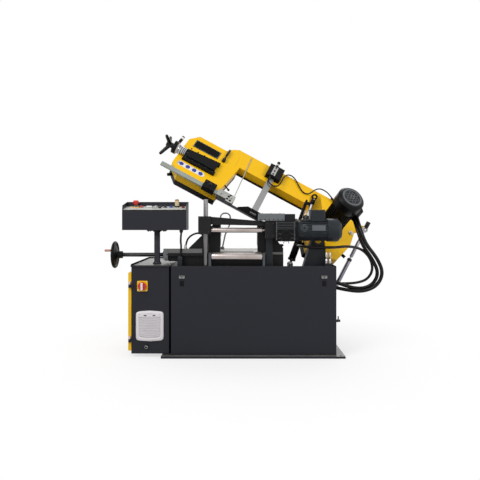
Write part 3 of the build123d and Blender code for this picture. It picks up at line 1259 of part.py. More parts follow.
def build():
    """Make every piece in its place."""
    keep("foot_plate", foot_plate())
    keep("base_cabinet", *base_cabinet())
    keep("front_panel", front_panel())
    keep("latch_left", latch(-LATCH_SPREAD))
    keep("latch_right", latch(LATCH_SPREAD))
    keep("service_units", *service_units(), control_gear())
    keep("electrical_cabinet", electrical_cabinet())
    keep("cabinet_door", cabinet_door())
    keep("switch_plate", switch_plate())
    keep("switch_knob", switch_knob())
    keep("filter_grille", filter_grille())
    keep("cable_glands", *cable_glands())
    keep("console_housing", console_shell(), console_post())
    keep("console_panel", *console_panel())
    for name, place in BUTTONS.items():
        keep(name, button(place))
    keep("e_stop", e_stop())
    keep("mode_selector", mode_selector())
    keep("signal_lamp", *signal_lamp())
    keep("vise_bed", vise_bed(), bed_neck(), screw_bearing(), gib_rail())
    keep("leadscrew", leadscrew())
    wheel = handwheel()
    keep("handwheel", wheel, crank_grip() - wheel)
    keep("moving_jaw", moving_jaw())
    keep("fixed_jaw", jaw(FIXED_JAW_X, 1, BED_TOP_Z, BED_RIGHT_X - FIXED_JAW_X))
    keep("roller_stands", *roller_stands())
    pin_x = (STANDS[0][0] + 2, STANDS[1][1] - 2)
    keep("lower_roller", roller((ROLLER_LEFT_X, ROLLER_RIGHT_X), LOWER_ROLLER_Z, LOWER_ROLLER_R, pin_x))
    upper_x = (HEAD_LEFT[1] + SLIDE_GAP, ROLLER_RIGHT_X)
    keep("upper_roller", roller(upper_x, UPPER_ROLLER_Z, UPPER_ROLLER_R, grow(UPPER_PIN_X, -SLIDE_GAP)))
    keep("feed_head", feed_head())
    keep("feed_cover", *feed_cover())
    keep("feed_gearmotor", feed_gear_unit(), feed_motor())
    keep("pivot_stand", pivot_stand(), *brackets())
    keep("coolant_pipe", coolant_pipe())
    keep("bow_frame", raised(bow_frame()), raised(pivot_shaft()))
    keep("wheel_covers", *[raised(bow(piece)) for piece in wheel_covers()])
    keep("drive_wheel", raised(bow(drive_wheel())))
    keep("idle_wheel", raised(bow(band_wheel(IDLE_U, AXLE_R + RUN_FIT))))
    keep("blade", raised(bow(blade())))
    keep("drive_gearmotor", raised(bow(drive_gearbox())), raised(bow(drive_motor())))
    keep("bow_plates", *[raised(bow(piece)) for piece in bow_plates()])
    keep("tension_slide", raised(bow(tension_slide())))
    keep("tension_handle", raised(bow(tension_handle())))
    keep("clamp_lever", raised(bow(clamp_lever())))
    keep("guide_bar", raised(bow(guide_bar())))
    keep("left_blade_guide", raised(left_blade_guide()))
    keep("guide_blocks", *[raised(piece) for piece in guide_blocks()])
    keep("right_guide_arm", raised(bow(right_guide_arm())))
    lift = along(LIFT_LOW, LIFT_HIGH, LIFT_Y)
    barrel = cylinder(lift, BARREL_R, BARREL_LENGTH, LIFT_ROD_R, EYE_WIDTH)
    keep("lift_barrel", barrel, lift_fitting())
    lift_span = span(LIFT_LOW, LIFT_HIGH)
    keep("lift_rod", piston_rod(lift, BARREL_R, LIFT_ROD_R, 180, lift_span, OPEN_PIN_GAP, EYE_WIDTH))
    damper = along(DAMPER_LOW, DAMPER_HIGH, DAMPER_Y)
    keep("damper_tube", cylinder(damper, DAMPER_TUBE_R, DAMPER_TUBE_LENGTH, DAMPER_ROD_R, EYE_WIDTH))
    damper_span = span(DAMPER_LOW, DAMPER_HIGH)
    rod = piston_rod(damper, DAMPER_TUBE_R, DAMPER_ROD_R, 100, damper_span, DAMPER_PIN_GAP, EYE_WIDTH)
    knob_start = damper_span + LINK_PIN_R + DAMPER_PIN_GAP + 8
    knob = Location(damper) * upright(DAMPER_KNOB_R, (knob_start, knob_start + DAMPER_KNOB_LENGTH))
    keep("damper_rod", rod + knob)
    for name, route in (("motor_cable_outer", MOTOR_CABLE_OUTER), ("motor_cable_inner", MOTOR_CABLE_INNER)):
        keep(name, trimmed(cord(name, route, MOTOR_CABLE_R), "cable_glands", "drive_gearmotor"))
    keep("lift_hose", trimmed(cord("lift_hose", LIFT_HOSE, LIFT_HOSE_R), "cable_glands", "lift_barrel"))
    keep("console_cable", trimmed(cord("console_cable", CONSOLE_CABLE, CONSOLE_CABLE_R), "cable_glands"))
    keep("vise_hose", trimmed(cord("vise_hose", VISE_HOSE, VISE_HOSE_R), "cable_glands", "vise_bed"))
    keep("bow_cable", trimmed(raised(bow(cord("bow_cable", BOW_CABLE, BOW_CABLE_R))), "guide_blocks"))


def write():
    """Write one file for each node."""
    os.makedirs("parts", exist_ok=True)
    for name, shape in NODES.items():
        export_step(shape, os.path.join("parts", name + ".step"))


build()
write()
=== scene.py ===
import json
import logging
import math
from dataclasses import dataclass, field
from enum import Enum
from itertools import product
from typing import Callable, ClassVar, Sequence

import bmesh
import bpy
from mathutils import Matrix, Vector


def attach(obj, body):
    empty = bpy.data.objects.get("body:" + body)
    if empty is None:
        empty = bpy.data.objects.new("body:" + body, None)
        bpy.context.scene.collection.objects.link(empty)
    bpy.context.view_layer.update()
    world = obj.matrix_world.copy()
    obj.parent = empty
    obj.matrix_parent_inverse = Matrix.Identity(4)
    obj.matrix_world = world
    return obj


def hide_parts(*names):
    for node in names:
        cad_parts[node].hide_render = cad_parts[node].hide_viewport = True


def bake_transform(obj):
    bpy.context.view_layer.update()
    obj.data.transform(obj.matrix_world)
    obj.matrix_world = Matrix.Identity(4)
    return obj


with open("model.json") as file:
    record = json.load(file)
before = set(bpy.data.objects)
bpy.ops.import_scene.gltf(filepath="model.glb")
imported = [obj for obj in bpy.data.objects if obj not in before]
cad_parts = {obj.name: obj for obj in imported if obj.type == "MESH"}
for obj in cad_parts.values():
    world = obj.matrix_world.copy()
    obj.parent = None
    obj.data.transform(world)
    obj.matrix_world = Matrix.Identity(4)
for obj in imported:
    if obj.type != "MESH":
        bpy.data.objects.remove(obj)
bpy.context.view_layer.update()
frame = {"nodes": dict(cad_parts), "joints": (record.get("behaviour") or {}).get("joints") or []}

LOG = logging.getLogger("band_saw")
MM = 0.001
SMOOTH_ANGLE = math.radians(35)

Pair = tuple[float, float]
Triple = tuple[float, float, float]
Quad = tuple[float, float, float, float]
Colour = Triple
Point = Sequence[float]
Profile = Sequence[Pair]
FaceTest = Callable[[Vector, Vector], bool]
Socket = bpy.types.NodeSocket
NodeValue = Socket | float | Sequence[float]
JOINTS = {joint["name"]: joint for joint in frame["joints"]}
RIGHTWARD = Vector((1, 0, 0))
BACKWARD = Vector((0, 1, 0))
UPWARD = Vector((0, 0, 1))
PANEL_ORIGIN = Vector((0.0, -0.330, 1.092))


def tone(red: int, green: int, blue: int) -> Colour:
    """Linear colour of a display colour given from 0 to 255."""
    shares = [value / 255 for value in (red, green, blue)]
    return tuple(s / 12.92 if s <= 0.04045 else ((s + 0.055) / 1.055) ** 2.4 for s in shares)


class Facing(Enum):
    """Ways that a piece can look, as shares of right, up and front."""

    FRONT = (0, 0, 1)
    BACK = (0, 0, -1)
    LEFT = (-1, 0, 0)
    RIGHT = (1, 0, 0)
    UP = (0, 1, 0)
    DOWN = (0, -1, 0)


@dataclass(frozen=True)
class Axes:
    """Frame that pieces are placed in, in millimetres along three directions."""

    origin: Vector
    along: tuple[Vector, Vector, Vector]
    up: Vector
    front: Vector

    def at(self, *place: float) -> Vector:
        """Place of a point given in this frame."""
        return self.origin + sum((axis * value for axis, value in zip(self.along, place)), Vector()) * MM

    def local(self, point: Vector) -> Vector:
        """Coordinates in this frame of a place."""
        offset = (Vector(point) - self.origin) / MM
        return Vector([offset.dot(axis) for axis in self.along])

    def seat(self, place: Point, facing: Facing = Facing.FRONT, spin: float = 0.0) -> Matrix:
        """Placement of a piece that looks a given way.

        Args:
            place: Its origin in this frame.
            facing: Way that its local z points.
            spin: Turn about local z, in degrees.

        Returns:
            The placement, with local y upward on upright faces.
        """
        rightward = self.up.cross(self.front)
        to_right, to_up, to_front = facing.value
        out = rightward * to_right + self.up * to_up + self.front * to_front
        side = rightward * (to_front + abs(to_up)) - self.front * to_right
        turn = Matrix((side, out.cross(side), out)).transposed().to_4x4()
        return Matrix.Translation(self.at(*place)) @ turn @ Matrix.Rotation(math.radians(spin), 4, "Z")


def bow_axes() -> Axes:
    """Frame of the bow at rest: u along the beam, v across it, a toward the motor side.

    Returns:
        The frame, with its origin at the centre of the drive wheel.
    """
    spin = JOINTS["drive_spin"]
    beam = Vector(JOINTS["tension_move"]["axis"]).normalized()
    out = Vector(spin["axis"]).normalized()
    across = out.cross(beam)
    return Axes(Vector(spin["pos_m"]), (beam, across, out), across, out)


def link_axes(swing: str, stroke: str) -> Axes:
    """Frame of a cylinder: y to the rear and z from its lower pin along its rod."""
    reach = Vector(JOINTS[stroke]["axis"]).normalized()
    return Axes(Vector(JOINTS[swing]["pos_m"]), (reach.cross(-BACKWARD), BACKWARD, reach), reach, -BACKWARD)


def panel_axes() -> Axes:
    """Frame of the sloped console panel: x to the right, y up the slope and z out of it.

    Returns:
        The frame, with its origin on the panel's lower edge.
    """
    out = -Vector(JOINTS["e_stop_press"]["axis"]).normalized()
    slope = out.cross(RIGHTWARD)
    return Axes(PANEL_ORIGIN, (RIGHTWARD, slope, out), out, -slope)


MACHINE = Axes(Vector(), (RIGHTWARD, BACKWARD, UPWARD), UPWARD, -BACKWARD)
BOW = bow_axes()
PANEL = panel_axes()
LIFT = link_axes("lift_swing", "lift_stroke")
DAMPER = link_axes("damper_swing", "damper_stroke")
IDLE_U = BOW.local(Vector(JOINTS["idle_spin"]["pos_m"])).x


# Shader graphs
@dataclass(frozen=True)
class Graph:
    """Node tree with short calls that add and link nodes."""

    tree: bpy.types.NodeTree

    def add(self, kind: str, feeds: dict[str | int, NodeValue] | None = None, **settings) -> bpy.types.Node:
        """Adds a node.

        Args:
            kind: Type name of the node.
            feeds: Values or sockets for its inputs, by name or number.
            settings: Attributes of the node.

        Returns:
            The new node.
        """
        node = self.tree.nodes.new(kind)
        for key, value in settings.items():
            setattr(node, key, value)
        for key, value in (feeds or {}).items():
            self.feed(node.inputs[key], value)
        return node

    def feed(self, socket: Socket, value: NodeValue) -> None:
        """Links an input to an output, or sets the input's own value.

        Args:
            socket: Input that is fed.
            value: Output to link to it, or a plain value.
        """
        if isinstance(value, Socket):
            self.tree.links.new(value, socket)
        else:
            socket.default_value = value

    def math(self, operation: str, first: NodeValue, second: NodeValue, clamp: bool = False) -> Socket:
        """Result of a sum on two values, held between 0 and 1 if clamped."""
        node = self.add("ShaderNodeMath", {0: first, 1: second}, operation=operation, use_clamp=clamp)
        return node.outputs[0]

    def above(self, value: NodeValue, start: float, gain: float) -> Socket:
        """Mask from 0 to 1 that rises by a gain once a value is past a start."""
        return self.math("MULTIPLY", self.math("SUBTRACT", value, start), gain, clamp=True)

    def line(self, value: NodeValue, gain: float, start: float) -> Socket:
        """Value times a gain, on top of a start."""
        return self.add("ShaderNodeMath", {0: value, 1: gain, 2: start}, operation="MULTIPLY_ADD").outputs[0]

    def mix(self, share: NodeValue, first: NodeValue, second: NodeValue) -> Socket:
        """Colour between two colours.

        Args:
            share: Share of the second colour.
            first: First colour.
            second: Second colour.

        Returns:
            Socket of the mixed colour.
        """
        node = self.add("ShaderNodeMix", data_type="RGBA")
        self.feed(node.inputs[0], share)
        for number, value in ((6, first), (7, second)):
            self.feed(node.inputs[number], (*value, 1.0) if isinstance(value, tuple) else value)
        return node.outputs[2]

    def noise(self, scale: NodeValue, detail: float) -> Socket:
        """Noise from 0 to 1 that stays on the object as it moves."""
        at = self.add("ShaderNodeTexCoord").outputs["Object"]
        return self.add("ShaderNodeTexNoise", {"Vector": at, "Scale": scale, "Detail": detail}).outputs["Fac"]

    def bump(self, shader: bpy.types.Node, height: NodeValue, strength: float, distance: float) -> None:
        """Roughens a shader's surface by a height."""
        node = self.add("ShaderNodeBump", {"Height": height, "Strength": strength, "Distance": distance})
        self.feed(shader.inputs["Normal"], node.outputs["Normal"])


class Effect:
    """Shader node group that several finishes share."""

    def __init__(self, name: str, inputs: dict[str, float], outputs: Sequence[str]) -> None:
        """Starts an empty group with float sockets.

        Args:
            name: Name of the group.
            inputs: Default value of each input, by name.
            outputs: Names of the outputs.
        """
        self.group = bpy.data.node_groups.new(name, "ShaderNodeTree")
        for label, value in inputs.items():
            socket = self.group.interface.new_socket(label, in_out="INPUT", socket_type="NodeSocketFloat")
            socket.default_value = value
        for label in outputs:
            self.group.interface.new_socket(label, in_out="OUTPUT", socket_type="NodeSocketFloat")
        self.graph = Graph(self.group)
        self.given = self.graph.add("NodeGroupInput").outputs
        self.result = self.graph.add("NodeGroupOutput").inputs

    def use(self, graph: Graph, values: dict[str, float]) -> bpy.types.bpy_prop_collection:
        """Outputs of the group, placed in a material with these inputs."""
        return graph.add("ShaderNodeGroup", values, node_tree=self.group).outputs


def speckle_effect() -> Effect:
    """Fine and broad noise over a surface.

    Returns:
        Group with a fine grain and a broad drift, both from 0 to 1.
    """
    effect = Effect("speckle", {"Grain Scale": 900.0, "Drift Scale": 4.0}, ("Grain", "Drift"))
    for label, detail in (("Grain", 3.0), ("Drift", 5.0)):
        noise = effect.graph.noise(effect.given[label + " Scale"], detail)
        effect.graph.feed(effect.result[label], noise)
    return effect


def edge_wear_effect() -> Effect:
    """Rubbed edges, found from the turn of the surface near an edge.

    Returns:
        Group with a mask that is 1 on worn edges.
    """
    effect = Effect("edge_wear", {"Width": 0.003, "Amount": 0.4, "Scale": 60.0}, ("Mask",))
    graph = effect.graph
    rounded = graph.add("ShaderNodeBevel", {"Radius": effect.given["Width"]}, samples=4).outputs["Normal"]
    facing = graph.add("ShaderNodeNewGeometry").outputs["Normal"]
    flat = graph.add("ShaderNodeVectorMath", {0: rounded, 1: facing}, operation="DOT_PRODUCT")
    turn = graph.math("MULTIPLY", graph.math("SUBTRACT", 1.0, flat.outputs["Value"]), 5.0, clamp=True)
    patchy = graph.above(graph.noise(effect.given["Scale"], 6.0), start=0.42, gain=5.0)
    worn = graph.math("MULTIPLY", turn, patchy)
    graph.feed(effect.result["Mask"], graph.math("MULTIPLY", worn, effect.given["Amount"], clamp=True))
    return effect


def dust_effect() -> Effect:
    """Dust and dried coolant that settle on faces that look up.

    Returns:
        Group with a mask that is 1 under dust.
    """
    effect = Effect("settled_dust", {"Amount": 0.2, "Scale": 14.0}, ("Mask",))
    graph = effect.graph
    facing = graph.add("ShaderNodeNewGeometry").outputs["Normal"]
    rise = graph.add("ShaderNodeSeparateXYZ", {0: facing}).outputs["Z"]
    level = graph.above(rise, start=0.55, gain=2.2)
    patchy = graph.above(graph.noise(effect.given["Scale"], 7.0), start=0.35, gain=2.4)
    settled = graph.math("MULTIPLY", level, patchy)
    graph.feed(effect.result["Mask"], graph.math("MULTIPLY", settled, effect.given["Amount"], clamp=True))
    return effect


def streak_effect() -> Effect:
    """Tool marks, and on the column painted dark reflections: noise drawn out along one axis.

    Returns:
        Group with a streak value from 0 to 1.
    """
    effect = Effect("tool_marks_and_painted_streaks", {"X": 20.0, "Y": 600.0, "Z": 600.0}, ("Streak",))
    graph = effect.graph
    place = graph.add("ShaderNodeTexCoord").outputs["Object"]
    stretch = graph.add("ShaderNodeCombineXYZ", {axis: effect.given[axis] for axis in "XYZ"}).outputs[0]
    drawn = graph.add("ShaderNodeVectorMath", {0: place, 1: stretch}, operation="MULTIPLY").outputs[0]
    noise = graph.add("ShaderNodeTexNoise", {"Vector": drawn, "Scale": 1.0, "Detail": 3.0})
    graph.feed(effect.result["Streak"], noise.outputs["Fac"])
    return effect


SPECKLE = speckle_effect()
EDGE_WEAR = edge_wear_effect()
DUST = dust_effect()
STREAK = streak_effect()


@dataclass(frozen=True)
class Finish:
    """Name, colour and gloss that every finish has."""

    name: str
    colour: Colour
    roughness: float
    shine: float = 0.5

    def material(self) -> bpy.types.Material:
        """Material of this finish, built on first use."""
        found = bpy.data.materials.get(self.name)
        return found or self.build()

    def shade(self, gain: float) -> Colour:
        """Darker or lighter tone of the colour."""
        return tuple(min(1.0, value * gain) for value in self.colour)

    def start(self) -> tuple[bpy.types.Material, Graph, bpy.types.Node]:
        """New material with its shader.

        Returns:
            The material, its graph and its shader node.
        """
        made = bpy.data.materials.new(self.name)
        made.use_nodes = True
        made.diffuse_color = (*self.colour, 1.0)
        shader = made.node_tree.nodes["Principled BSDF"]
        shader.inputs["Specular IOR Level"].default_value = self.shine
        return made, Graph(made.node_tree), shader

    def build(self) -> bpy.types.Material:
        """Builds the material's nodes."""
        raise NotImplementedError


@dataclass(frozen=True)
class Paint(Finish):
    """Sprayed machine paint: orange peel, drift, rubbed edges and settled dust."""

    peel: float = 0.06
    drift: float = 0.12
    wear: float = 0.35
    under: Colour = tone(120, 118, 115)
    dust: float = 0.14
    dust_colour: Colour = tone(150, 146, 138)
    coat: float = 0.1

    def build(self) -> bpy.types.Material:
        """Builds the painted metal.

        Returns:
            The material.
        """
        made, graph, shader = self.start()
        speckle = SPECKLE.use(graph, {"Grain Scale": 420.0, "Drift Scale": 3.0})
        worn = EDGE_WEAR.use(graph, {"Width": 0.004, "Amount": self.wear, "Scale": 45.0})["Mask"]
        dusty = DUST.use(graph, {"Amount": self.dust, "Scale": 11.0})["Mask"]
        base = graph.mix(speckle["Drift"], self.shade(1 - self.drift), self.shade(1 + self.drift))
        base = graph.mix(worn, base, self.under)
        base = graph.mix(dusty, base, self.dust_colour)
        graph.feed(shader.inputs["Base Color"], base)
        matt = graph.line(speckle["Drift"], gain=0.18, start=self.roughness - 0.09)
        graph.feed(shader.inputs["Roughness"], graph.math("ADD", matt, graph.math("MULTIPLY", dusty, 0.3)))
        graph.feed(shader.inputs["Metallic"], graph.math("MULTIPLY", worn, 0.6))
        graph.feed(shader.inputs["Coat Weight"], self.coat)
        graph.feed(shader.inputs["Coat Roughness"], 0.25)
        graph.bump(shader, speckle["Grain"], self.peel, distance=0.001)
        return made


@dataclass(frozen=True)
class BareMetal(Finish):
    """Machined or ground metal with tool marks along one axis; on the column, the deep marks are painted dark
    reflections.
    """

    marks: Triple = (20, 700, 700)
    depth: float = 0.25
    stain: Colour = tone(96, 90, 82)
    stained: float = 0.25

    def build(self) -> bpy.types.Material:
        """Builds the bare metal.

        Returns:
            The material.
        """
        made, graph, shader = self.start()
        streak = STREAK.use(graph, dict(zip("XYZ", self.marks)))["Streak"]
        speckle = SPECKLE.use(graph, {"Grain Scale": 250.0, "Drift Scale": 6.0})
        patch = graph.above(speckle["Drift"], start=0.45, gain=4.0)
        base = graph.mix(graph.math("MULTIPLY", patch, self.stained), self.colour, self.stain)
        # Darker grooves along the marks; on the column, with its large depth, they are painted dark
        # reflections.
        groove_and_painted_streak = graph.above(streak, start=0.4, gain=4.0)
        base = graph.mix(graph.math("MULTIPLY", groove_and_painted_streak, self.depth), base, self.shade(0.5))
        graph.feed(shader.inputs["Base Color"], base)
        graph.feed(shader.inputs["Metallic"], 1.0)
        graph.feed(shader.inputs["Roughness"], graph.line(streak, gain=0.22, start=self.roughness - 0.1))
        graph.bump(shader, streak, self.depth * 0.3, distance=0.0006)
        return made


@dataclass(frozen=True)
class Moulding(Finish):
    """Moulded plastic or rubber with a fine grain."""

    grain: float = 700
    depth: float = 0.12
    rub: float = 0.15
    rubbed: Colour = tone(120, 120, 120)

    def build(self) -> bpy.types.Material:
        """Builds the moulded material.

        Returns:
            The material.
        """
        made, graph, shader = self.start()
        speckle = SPECKLE.use(graph, {"Grain Scale": self.grain, "Drift Scale": 9.0})
        worn = EDGE_WEAR.use(graph, {"Width": 0.002, "Amount": self.rub, "Scale": 90.0})["Mask"]
        base = graph.mix(speckle["Drift"], self.shade(0.86), self.colour)
        graph.feed(shader.inputs["Base Color"], graph.mix(worn, base, self.rubbed))
        rough = graph.line(speckle["Grain"], gain=0.16, start=self.roughness - 0.08)
        graph.feed(shader.inputs["Roughness"], rough)
        graph.bump(shader, speckle["Grain"], self.depth, distance=0.0005)
        return made


class Shop:
    """The machine's finishes."""

    CHARCOAL = Paint("charcoal_paint", tone(33, 34, 41), 0.5, shine=0.22, dust=0.06, wear=0.3, coat=0.04)
    # Grey of the cabinet's top; on the foot plate's up-facing faces the same grey is a painted highlight.
    TOP_GREY_AND_HIGHLIGHT = Paint("top_grey_and_painted_highlight", tone(96, 98, 96), 0.34, wear=0.1, dust=0.25)
    CASTING = Paint("casting_paint", tone(20, 20, 22), 0.55, shine=0.2, peel=0.18, wear=0.4, dust=0.06,
                    coat=0.04)
    STAND = Paint("stand_paint", tone(26, 31, 36), 0.5, shine=0.25, peel=0.14, wear=0.4, dust=0.08, coat=0.04)
    POST = Paint("roller_post_paint", tone(76, 78, 82), 0.45, shine=0.25, wear=0.3, dust=0.06)
    BLACK = Paint("satin_black_paint", tone(11, 11, 12), 0.45, shine=0.12, wear=0.22, dust=0.04, coat=0.02)
    YELLOW = Paint("yellow_paint", tone(255, 197, 2), 0.42, shine=0.25, wear=0.2, drift=0.05, dust=0.04,
                   dust_colour=tone(190, 150, 60), coat=0.08)
    COVER_GREY = Paint("cover_grey_paint", tone(100, 104, 106), 0.5, wear=0.25, dust=0.1)
    MOTOR = Paint("motor_paint", tone(27, 33, 38), 0.45, shine=0.25, peel=0.12, dust=0.06, coat=0.04)
    DRIVE = Paint("drive_motor_paint", tone(10, 9, 8), 0.45, shine=0.15, peel=0.12, dust=0.04, wear=0.15,
                  coat=0.04)
    FAN = Paint("fan_cover_paint", tone(14, 14, 15), 0.4, shine=0.12, dust=0.04, coat=0.02)
    # Lighter grey that paints highlights on the black gear casting's ribs, edges and webs.
    GEAR_CASE_HIGHLIGHT = Paint("gear_case_painted_highlight", tone(50, 54, 60), 0.4, wear=0.3, dust=0.05)
    # Pale grey of the fan guards and motor plate; on the gear unit's screws and the feed motor's boss rings
    # it is a painted highlight.
    GUARD_GREY_AND_HIGHLIGHT = Paint("guard_grey_and_painted_highlight", tone(88, 93, 98), 0.4, wear=0.1, dust=0.03)
    UNIT = Paint("unit_paint", tone(78, 90, 110), 0.5)
    PANEL = Paint("panel_foil", tone(200, 199, 193), 0.45, wear=0.05, dust=0.03, peel=0.03, drift=0.04)
    WHITE = Paint("white_foil", tone(236, 236, 232), 0.45, wear=0.05, dust=0.02, peel=0.02, drift=0.03)
    SIGN_BLUE = Paint("blue_foil", tone(38, 52, 150), 0.4, wear=0.05, dust=0.02, peel=0.02)
    GLOSS_BLACK = Paint("black_name_plate", tone(12, 11, 11), 0.4, shine=0.08, wear=0.1, dust=0.02, peel=0.02,
                        coat=0.0)
    STEEL = BareMetal("ground_steel", tone(182, 182, 178), 0.38)
    # The column's deep dark streaks along its axis are painted dark reflections.
    COLUMN = BareMetal("drawn_steel_painted_reflections", tone(124, 122, 122), 0.34, marks=(260, 260, 6), depth=0.6)
    ROD = BareMetal("polished_rod", tone(186, 187, 190), 0.2, marks=(300, 300, 8), depth=0.3,
                    stained=0.08)
    PIPE = BareMetal("damper_steel", tone(138, 136, 146), 0.3, marks=(240, 240, 10), depth=0.45,
                     stained=0.1)
    ROLLER = BareMetal("roller_steel", tone(188, 179, 175), 0.32, marks=(420, 12, 12), depth=0.3,
                       stain=tone(150, 122, 114), stained=0.45)
    ARM = BareMetal("milled_arm_steel", tone(158, 158, 159), 0.4, depth=0.35)
    BAR = BareMetal("guide_bar_steel", tone(166, 173, 165), 0.5, marks=(18, 500, 500), depth=0.3,
                    stained=0.2)
    BED = BareMetal("machined_bed", tone(100, 98, 94), 0.42, marks=(14, 260, 260), depth=0.35,
                    stained=0.35)
    GIB = BareMetal("gib_steel", tone(108, 107, 106), 0.4, depth=0.35, stained=0.3)
    CHROME = BareMetal("hard_chrome", tone(206, 208, 210), 0.2, depth=0.1, stained=0.05)
    KNUCKLE = BareMetal("hinge_steel", tone(206, 190, 184), 0.3, depth=0.15, stained=0.15)
    DARK_STEEL = BareMetal("blackened_steel", tone(58, 58, 60), 0.42, marks=(30, 500, 500))
    BLUED = BareMetal("blued_strip", tone(72, 74, 80), 0.3, depth=0.25, stained=0.2)
    LATCH = BareMetal("latch_steel", tone(140, 140, 138), 0.4, depth=0.3, stained=0.3)
    IRON = BareMetal("machined_iron", tone(120, 118, 116), 0.45, depth=0.4, stained=0.4)
    BRASS = BareMetal("brass", tone(190, 140, 70), 0.32, depth=0.15)
    RUBBER = Moulding("cable_rubber", tone(7, 7, 8), 0.25, shine=0.22, grain=1200.0, depth=0.06, rub=0.03)
    HOSE = Moulding("hydraulic_hose", tone(24, 15, 13), 0.34, shine=0.3, grain=1200.0, depth=0.08, rub=0.04)
    SEAM = Moulding("seam_rubber", tone(2, 2, 2), 0.8, shine=0.02, depth=0.05, rub=0.0)
    PLASTIC = Moulding("black_plastic", tone(14, 14, 15), 0.36, shine=0.3, rub=0.08)
    MAT = Moulding("filter_mat", tone(206, 201, 204), 0.8, grain=300.0, depth=0.5)
    WHITE_PLASTIC = Moulding("grille_plastic", tone(244, 239, 242), 0.5, rubbed=tone(170, 166, 160))
    RED_PLASTIC = Moulding("red_plastic", tone(218, 56, 46), 0.32, rubbed=tone(235, 120, 110))
    BLUE_PLASTIC = Moulding("blue_plastic", tone(24, 62, 170), 0.35, rubbed=tone(120, 140, 200))
    GRIP = Moulding("crank_grip", tone(196, 140, 120), 0.4, rubbed=tone(220, 180, 160))
    LENS = Moulding("cream_lens", tone(232, 212, 170), 0.2, depth=0.02)
    LENS_CAP = Moulding("tan_lens_cap", tone(150, 96, 52), 0.25, depth=0.02)
    DULL_RED = Moulding("dull_red_lens", tone(120, 34, 30), 0.3, depth=0.02)
    DISPLAY = Moulding("display_glass", tone(246, 248, 246), 0.15, depth=0.01, rub=0.02)


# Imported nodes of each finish, with the width of their softened edges in millimetres
NODE_EDGES: tuple[tuple[Finish, dict[str, float]], ...] = (
    (Shop.CHARCOAL, {"foot_plate": 2.0, "base_cabinet": 1.2, "front_panel": 1.0, "electrical_cabinet": 1.5,
                     "console_housing": 1.2}),
    (Shop.LATCH, {"latch_left": 0.8, "latch_right": 0.8}),
    (Shop.UNIT, {"service_units": 3.0}),
    (Shop.YELLOW, {"cabinet_door": 1.5, "switch_plate": 1.0, "bow_frame": 2.0}),
    (Shop.RED_PLASTIC, {"switch_knob": 1.0, "reset_button": 0.4, "e_stop": 0.8}),
    (Shop.PANEL, {"console_panel": 0.6}),
    (Shop.CHROME, {"start_button": 0.4, "stop_button": 0.4}),
    (Shop.PLASTIC, {"jog_forward_button": 0.4, "jog_back_button": 0.4, "mode_selector": 0.6,
                    "tension_handle": 1.0, "clamp_lever": 1.0}),
    (Shop.BLUE_PLASTIC, {"light_button": 0.4}),
    (Shop.LENS, {"signal_lamp": 0.6}),
    (Shop.CASTING, {"vise_bed": 2.0, "moving_jaw": 2.5, "fixed_jaw": 2.5, "feed_head": 2.0}),
    (Shop.BLACK, {"handwheel": 1.0, "wheel_covers": 2.0, "bow_plates": 1.0, "tension_slide": 1.0,
                  "guide_blocks": 1.5, "lift_barrel": 1.0}),
    (Shop.STAND, {"roller_stands": 1.5, "pivot_stand": 2.0}),
    (Shop.ROLLER, {"lower_roller": 0.8, "upper_roller": 0.8}),
    (Shop.COVER_GREY, {"feed_cover": 1.0}),
    (Shop.MOTOR, {"feed_gearmotor": 1.0}),
    (Shop.DRIVE, {"drive_gearmotor": 1.0}),
    (Shop.PIPE, {"coolant_pipe": 0.0, "damper_tube": 0.8}),
    (Shop.IRON, {"drive_wheel": 1.0, "idle_wheel": 1.0}),
    (Shop.BAR, {"guide_bar": 0.0}),
    (Shop.STEEL, {"left_blade_guide": 1.5}),
    (Shop.ARM, {"right_guide_arm": 1.5}),
    (Shop.ROD, {"lift_rod": 0.8, "damper_rod": 0.8}),
)


def dress(node: str, finish: Finish, edge: float) -> None:
    """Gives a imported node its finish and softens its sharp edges.

    Args:
        node: Name of the node.
        finish: Finish of its whole surface.
        edge: Width of the softened edges in millimetres, or 0 to leave them.
    """
    shape = frame["nodes"][node]
    shape.data.materials.clear()
    shape.data.materials.append(finish.material())
    if edge <= 0:
        return
    weld = shape.modifiers.new("join_faces", "WELD")
    weld.merge_threshold = 1e-5
    flat = shape.modifiers.new("flat_faces", "DECIMATE")
    flat.decimate_type = "DISSOLVE"
    flat.angle_limit = math.radians(0.8)
    flat.delimit = {"MATERIAL"}
    round_off = shape.modifiers.new("soft_edges", "BEVEL")
    round_off.width = edge * MM
    round_off.segments = 2
    round_off.limit_method = "ANGLE"
    round_off.angle_limit = math.radians(38)
    round_off.harden_normals = True


def dress_part(node: str, finish: Finish, inside: FaceTest, axes: Axes) -> None:
    """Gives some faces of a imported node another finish.

    Args:
        node: Name of the node.
        finish: Finish of those faces.
        inside: Test of a face's middle, in millimetres in the axes, and of its normal.
        axes: Frame that the test is made in.
    """
    mesh = frame["nodes"][node].data
    mesh.materials.append(finish.material())
    number = len(mesh.materials) - 1
    for face in mesh.polygons:
        normal = Vector([face.normal.dot(axis) for axis in axes.along])
        if inside(axes.local(face.center), normal):
            face.material_index = number


# Mesh pieces
def shift(place: Matrix, x: float, y: float, z: float = 0.0) -> Matrix:
    """Placement moved by millimetres along its own axes."""
    return place @ Matrix.Translation(Vector((x, y, z)) * MM)


def round_places(count: int, radius: float, start: float = 0.0) -> list[Pair]:
    """Evenly spaced places on a circle, the first at an angle in degrees."""
    turns = [math.radians(start) + 2 * math.pi * step / count for step in range(count)]
    return [(radius * math.cos(turn), radius * math.sin(turn)) for turn in turns]


